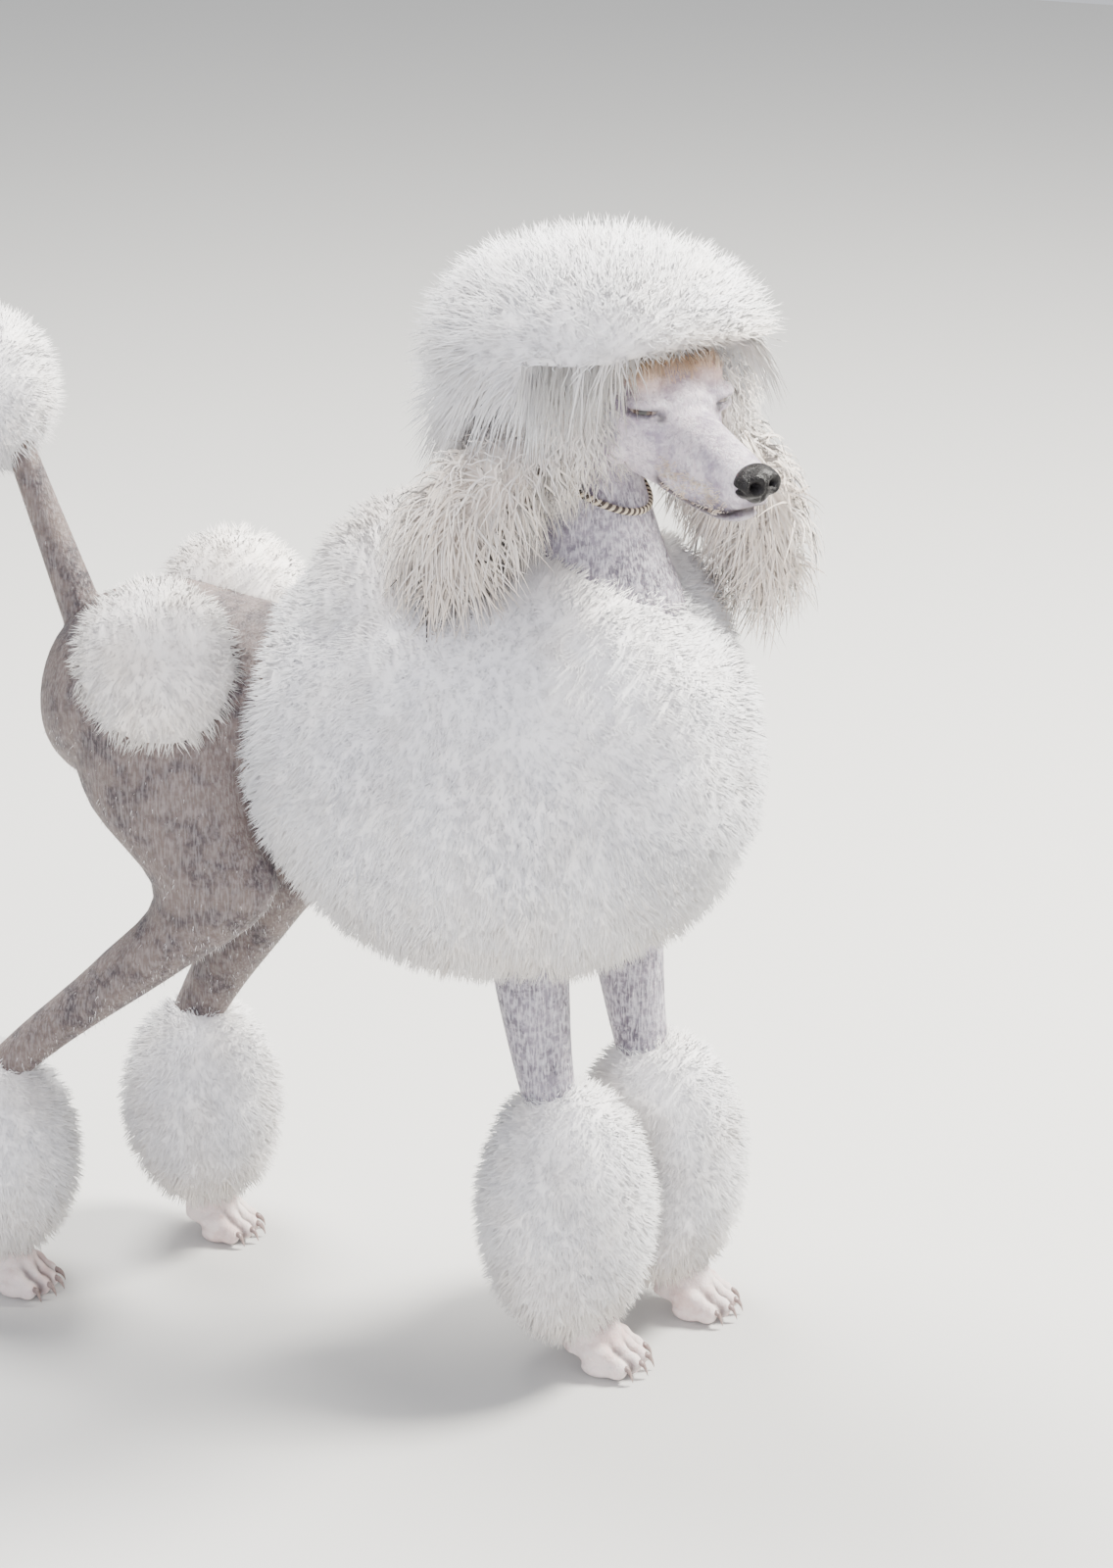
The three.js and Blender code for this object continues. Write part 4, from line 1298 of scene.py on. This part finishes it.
def small_coat(name, balls, inset, count, length, seed, shape=None, droop=0.2, warmth=0.1):
    rng = np.random.default_rng(seed)
    base = underlayer(f"{name}_underlayer", inset_balls(balls, inset), 4.5, 2.0, 36, seed, shape)
    hair_colours(base.data, 0.3, 0.5, warmth)
    coat_piece(base, white_coat, replaced=name)
    roots = Roots(base.data, count, rng)
    noise_way = swirl(roots.at, 0.03, seed) * 0.3 + rng.normal(size=roots.out.shape) * 0.14
    grow = roots.out - UP * droop + noise_way
    reach = length * rng.uniform(0.6, 1.15, count)
    pull = gathered(roots.at, 4.0, rng) * 0.5 - UP * (reach * droop * 0.6 * MM)[:, None]
    low = ramp(roots.at[:, 2] / MM, 120, 30) * 0.3
    part = locks(f"{name}_locks", roots, grow, pull, reach, SMALL_WIDTH, rng, tint=warmth + low,
                 crimp=0.5, crimp_length=15, segments=2)
    coat_piece(part, white_coat)


def bracelet(pair, side):
    trim = FRONT_BRACELET if pair == "front" else REAR_BRACELET
    f, l = FEET[pair, side]
    middle = 0.0 if pair == "front" else HIND_MIDDLE
    s = SIDES[side]

    def keep_side(co):
        lateral = (co[:, 0] - origin_x) / MM
        inner = np.maximum((lateral - middle) * s, 10.0)
        co[:, 0] = origin_x + (middle + inner * s) * MM
        return co

    centre = (f - trim["back"], l, trim["bottom"] + trim["radii"][2])
    name = f"bracelet_{pair}_{side}"
    small_coat(name, [(centre, trim["radii"])], SMALL_INSET, BRACELET_LOCKS[pair], SMALL_LENGTH,
               600 + f, keep_side, droop=0.28)


for (pair_name, side_name) in FEET:
    bracelet(pair_name, side_name)
for side_name, s in SIDES.items():
    hip = (ROSETTE_AT[0], ROSETTE_AT[0] * LOIN_SWING + s * ROSETTE_AT[1], ROSETTE_AT[2])
    small_coat(f"rosette_{side_name}", [(hip, ROSETTE_RADII)], SMALL_INSET, 3600, SMALL_LENGTH,
               55 + int(s), warmth=0.25)
small_coat("tail_pompom", [(POMPOM_AT, POMPOM_RADII)], 10, 4200, 16, 61, droop=0.05)
print("coat pieces", len(coat_pieces))


# %% [markdown]
# Shaved skin still shows short hair where it breaks the outline: stubble down the legs and the
# throat, tan hair combed up over the brow, and curly fuzz on the upper lip. It grows on a light
# copy of the skin, which is unwrapped for it and then taken away.

# %% Short hair on the skin
LIGHT_SHARE = 0.09
BROW_HAIRS = 1500
LIP_HAIRS = 1000
LEG_HAIRS = 6500


def light_skin():
    copy = skin.copy()
    copy.data = skin.data.copy()
    bpy.context.scene.collection.objects.link(copy)
    thin = copy.modifiers.new("thin", "DECIMATE")
    thin.ratio = LIGHT_SHARE
    applied(copy)
    unwrapped(copy)
    return copy


def on_brow(points, normals):
    s, l, u = head_coords(points)
    patch = bell(s - 30, 18) * (np.abs(l) < 46) * ramp(u, 26, 34) * (u < 52)
    return patch * ramp(normals @ h_up, -0.1, 0.3)


def on_lip(points, _):
    s, l, u = head_coords(points)
    return ramp(s, 52, 66) * ramp(s, 124, 116) * ramp(u, -41, -37) * ramp(u, -14, -22) * (np.abs(l) > 7)


def on_legs_and_throat(points, _):
    f = dog_coords(points)[0]
    z = points[:, 2] / MM
    throat = ramp(z, 560, 600) * ramp(z, 712, 690) * (f > -60)
    legs = ramp(z, 130, 170) * ramp(z, 560, 520)
    return np.clip(throat * 1.2 + legs + 0.6 * (f < -250) * (z > 150), 0.0, 1.5)


def grow_brow(mesh, rng):
    roots = Roots(mesh, BROW_HAIRS, rng, on_brow)
    stray = rng.normal(size=roots.out.shape) * 0.2
    grow = roots.out * 0.55 + h_up * 0.7 - h_forward * 0.45 + stray
    length = rng.uniform(5, 12, BROW_HAIRS)
    pull = -h_forward * (length * 0.3 * MM)[:, None]
    return locks("brow_hair", roots, grow, pull, length, 0.9, rng,
                 tint=rng.uniform(0.6, 1.0, BROW_HAIRS), crimp=0.5, crimp_length=9)


def grow_lip(mesh, rng):
    roots = Roots(mesh, LIP_HAIRS, rng, on_lip)
    grow = roots.out * 0.7 - h_forward * 0.4 + swirl(roots.at, 0.008, 3) * 0.9
    pull = swirl(roots.at, 0.006, 5) * 3.0 * MM
    return locks("lip_fuzz", roots, grow, pull, rng.uniform(3.5, 6.5, LIP_HAIRS), 1.1, rng,
                 tint=rng.uniform(0.4, 0.85, LIP_HAIRS), crimp=0.8, crimp_length=3.5)


def grow_stubble(mesh, rng):
    roots = Roots(mesh, LEG_HAIRS, rng, on_legs_and_throat)
    grow = roots.out * 0.42 - UP * 0.85 + rng.normal(size=roots.out.shape) * 0.2
    pull = np.tile(-UP * MM, (LEG_HAIRS, 1))
    return locks("leg_stubble", roots, grow, pull, rng.uniform(3.0, 7.0, LEG_HAIRS), 0.6, rng,
                 tint=rng.uniform(0.0, 0.3, LEG_HAIRS), segments=2)


def make_short_hair():
    rng = np.random.default_rng(77)
    base = light_skin()
    coat_piece(grow_brow(base.data, rng), cream_coat)
    coat_piece(grow_lip(base.data, rng), cream_coat)
    coat_piece(grow_stubble(base.data, rng), white_coat)
    bpy.data.objects.remove(base, do_unlink=True)


make_short_hair()
coat_total = sum(len(piece.data.polygons) for piece in coat_pieces)
print("coat pieces", len(coat_pieces), "coat faces", coat_total, "largest",
      max(len(piece.data.polygons) for piece in coat_pieces))

# %% [markdown]
# The camera stands at eye height, some way off to the dog's right and front, and looks down at
# it. A long lens keeps the legs and the head at nearly the same scale.

# %% Camera
LENS_PIXELS = 3600.0
FRAME_WIDTH = 1136.0
SENSOR = 36.0
CAMERA_HEIGHT = 1.45
CAMERA_TILT = math.radians(22.3)
BODY_YAW = math.radians(22.0)
FEET_ASIDE = 0.0695
FEET_AWAY = 2.396


def make_camera():
    ahead = -FEET_ASIDE * math.cos(BODY_YAW) + FEET_AWAY * math.sin(BODY_YAW)
    left = -FEET_ASIDE * math.sin(BODY_YAW) - FEET_AWAY * math.cos(BODY_YAW)
    at = Vector(place(ahead / MM, left / MM, CAMERA_HEIGHT / MM))
    level = Vector(LEFT * math.cos(BODY_YAW) - FORWARD * math.sin(BODY_YAW))
    look = level * math.cos(CAMERA_TILT) - Vector(UP) * math.sin(CAMERA_TILT)
    data = bpy.data.cameras.new("view")
    data.sensor_width = SENSOR
    data.sensor_fit = "HORIZONTAL"
    data.lens = LENS_PIXELS / FRAME_WIDTH * SENSOR
    camera = bpy.data.objects.new("view", data)
    camera.location = at
    camera.rotation_euler = look.to_track_quat("-Z", "Y").to_euler()
    bpy.context.scene.collection.objects.link(camera)
    bpy.context.scene.camera = camera
    print("camera at", [round(v, 3) for v in at])


make_camera()

# %% [markdown]
# Every piece of flesh and dress rides on the still model's one body, and stands for its solids.

# %% Riding on the frame
def dress(obj, slot_name, *nodes):
    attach(obj, "root")
    if nodes:
        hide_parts(*nodes)


FLESH = ["head", "neck", "torso", "tail"]
FLESH += [f"{limb}_{side}" for limb in ("foreleg", "hindleg", "paw_front", "paw_rear") for side in SIDES]
dress(skin, "body_skin", *FLESH)
for side_name, eye in eyes.items():
    dress(eye, "eye", f"eye_{side_name}")
dress(nose, "nose_leather", "nose")
dress(claws, "foot_skin")
dress(dark_strand, "collar_chain", "collar")
dress(pale_strand, "collar_chain")


# %% [markdown]
# Soft studio light: a large warm key from the right of the picture and above, a cool fill from
# the left and a broad top light, over a plain pale floor. The floor is matt painted board, which
# gives no reflections.

# %% Floor and lights
LIGHTS = [("key", (1.5, -2.1, 2.9), 1.1, 520, "#FFFCF4"), ("fill", (-3.0, -0.8, 1.5), 2.4, 70, "#F3F3FF"),
          ("top", (0.6, 1.0, 3.0), 1.6, 210, "#FFFDF9")]
LIT_SPOT = (0, 0, 0.5)
FLOOR_REACH = 6.0
SKY_STRENGTH = 0.95


def add_light(name, spot, size, power, colour, target):
    data = bpy.data.lights.new(name, "AREA")
    data.shape = "DISK"
    data.size = size
    data.energy = power
    data.color = linear(colour)[:3]
    light = bpy.data.objects.new(name, data)
    light.location = Vector(spot)
    light.rotation_euler = (Vector(target) - Vector(spot)).to_track_quat("-Z", "Y").to_euler()
    bpy.context.scene.collection.objects.link(light)


def make_studio():
    mesh = bpy.data.meshes.new("floor")
    corners = [(x * FLOOR_REACH, y * FLOOR_REACH, 0) for x, y in ((-1, -1), (1, -1), (1, 1), (-1, 1))]
    mesh.from_pydata(corners, [], [(0, 1, 2, 3)])
    floor = bpy.data.objects.new("floor", mesh)
    bpy.context.scene.collection.objects.link(floor)
    paint, _, shader = fresh_material("matt_painted_board")
    shader.inputs["Base Color"].default_value = linear("#CBCAC7")
    shader.inputs["Roughness"].default_value = 0.8
    mesh.materials.append(paint)
    for name, spot, size, power, colour in LIGHTS:
        add_light(name, spot, size, power, colour, LIT_SPOT)
    world = bpy.data.worlds.new("studio")
    world.use_nodes = True
    sky = world.node_tree.nodes["Background"].inputs
    sky["Color"].default_value = linear("#E4E7ED")
    sky["Strength"].default_value = SKY_STRENGTH
    bpy.context.scene.world = world


make_studio()
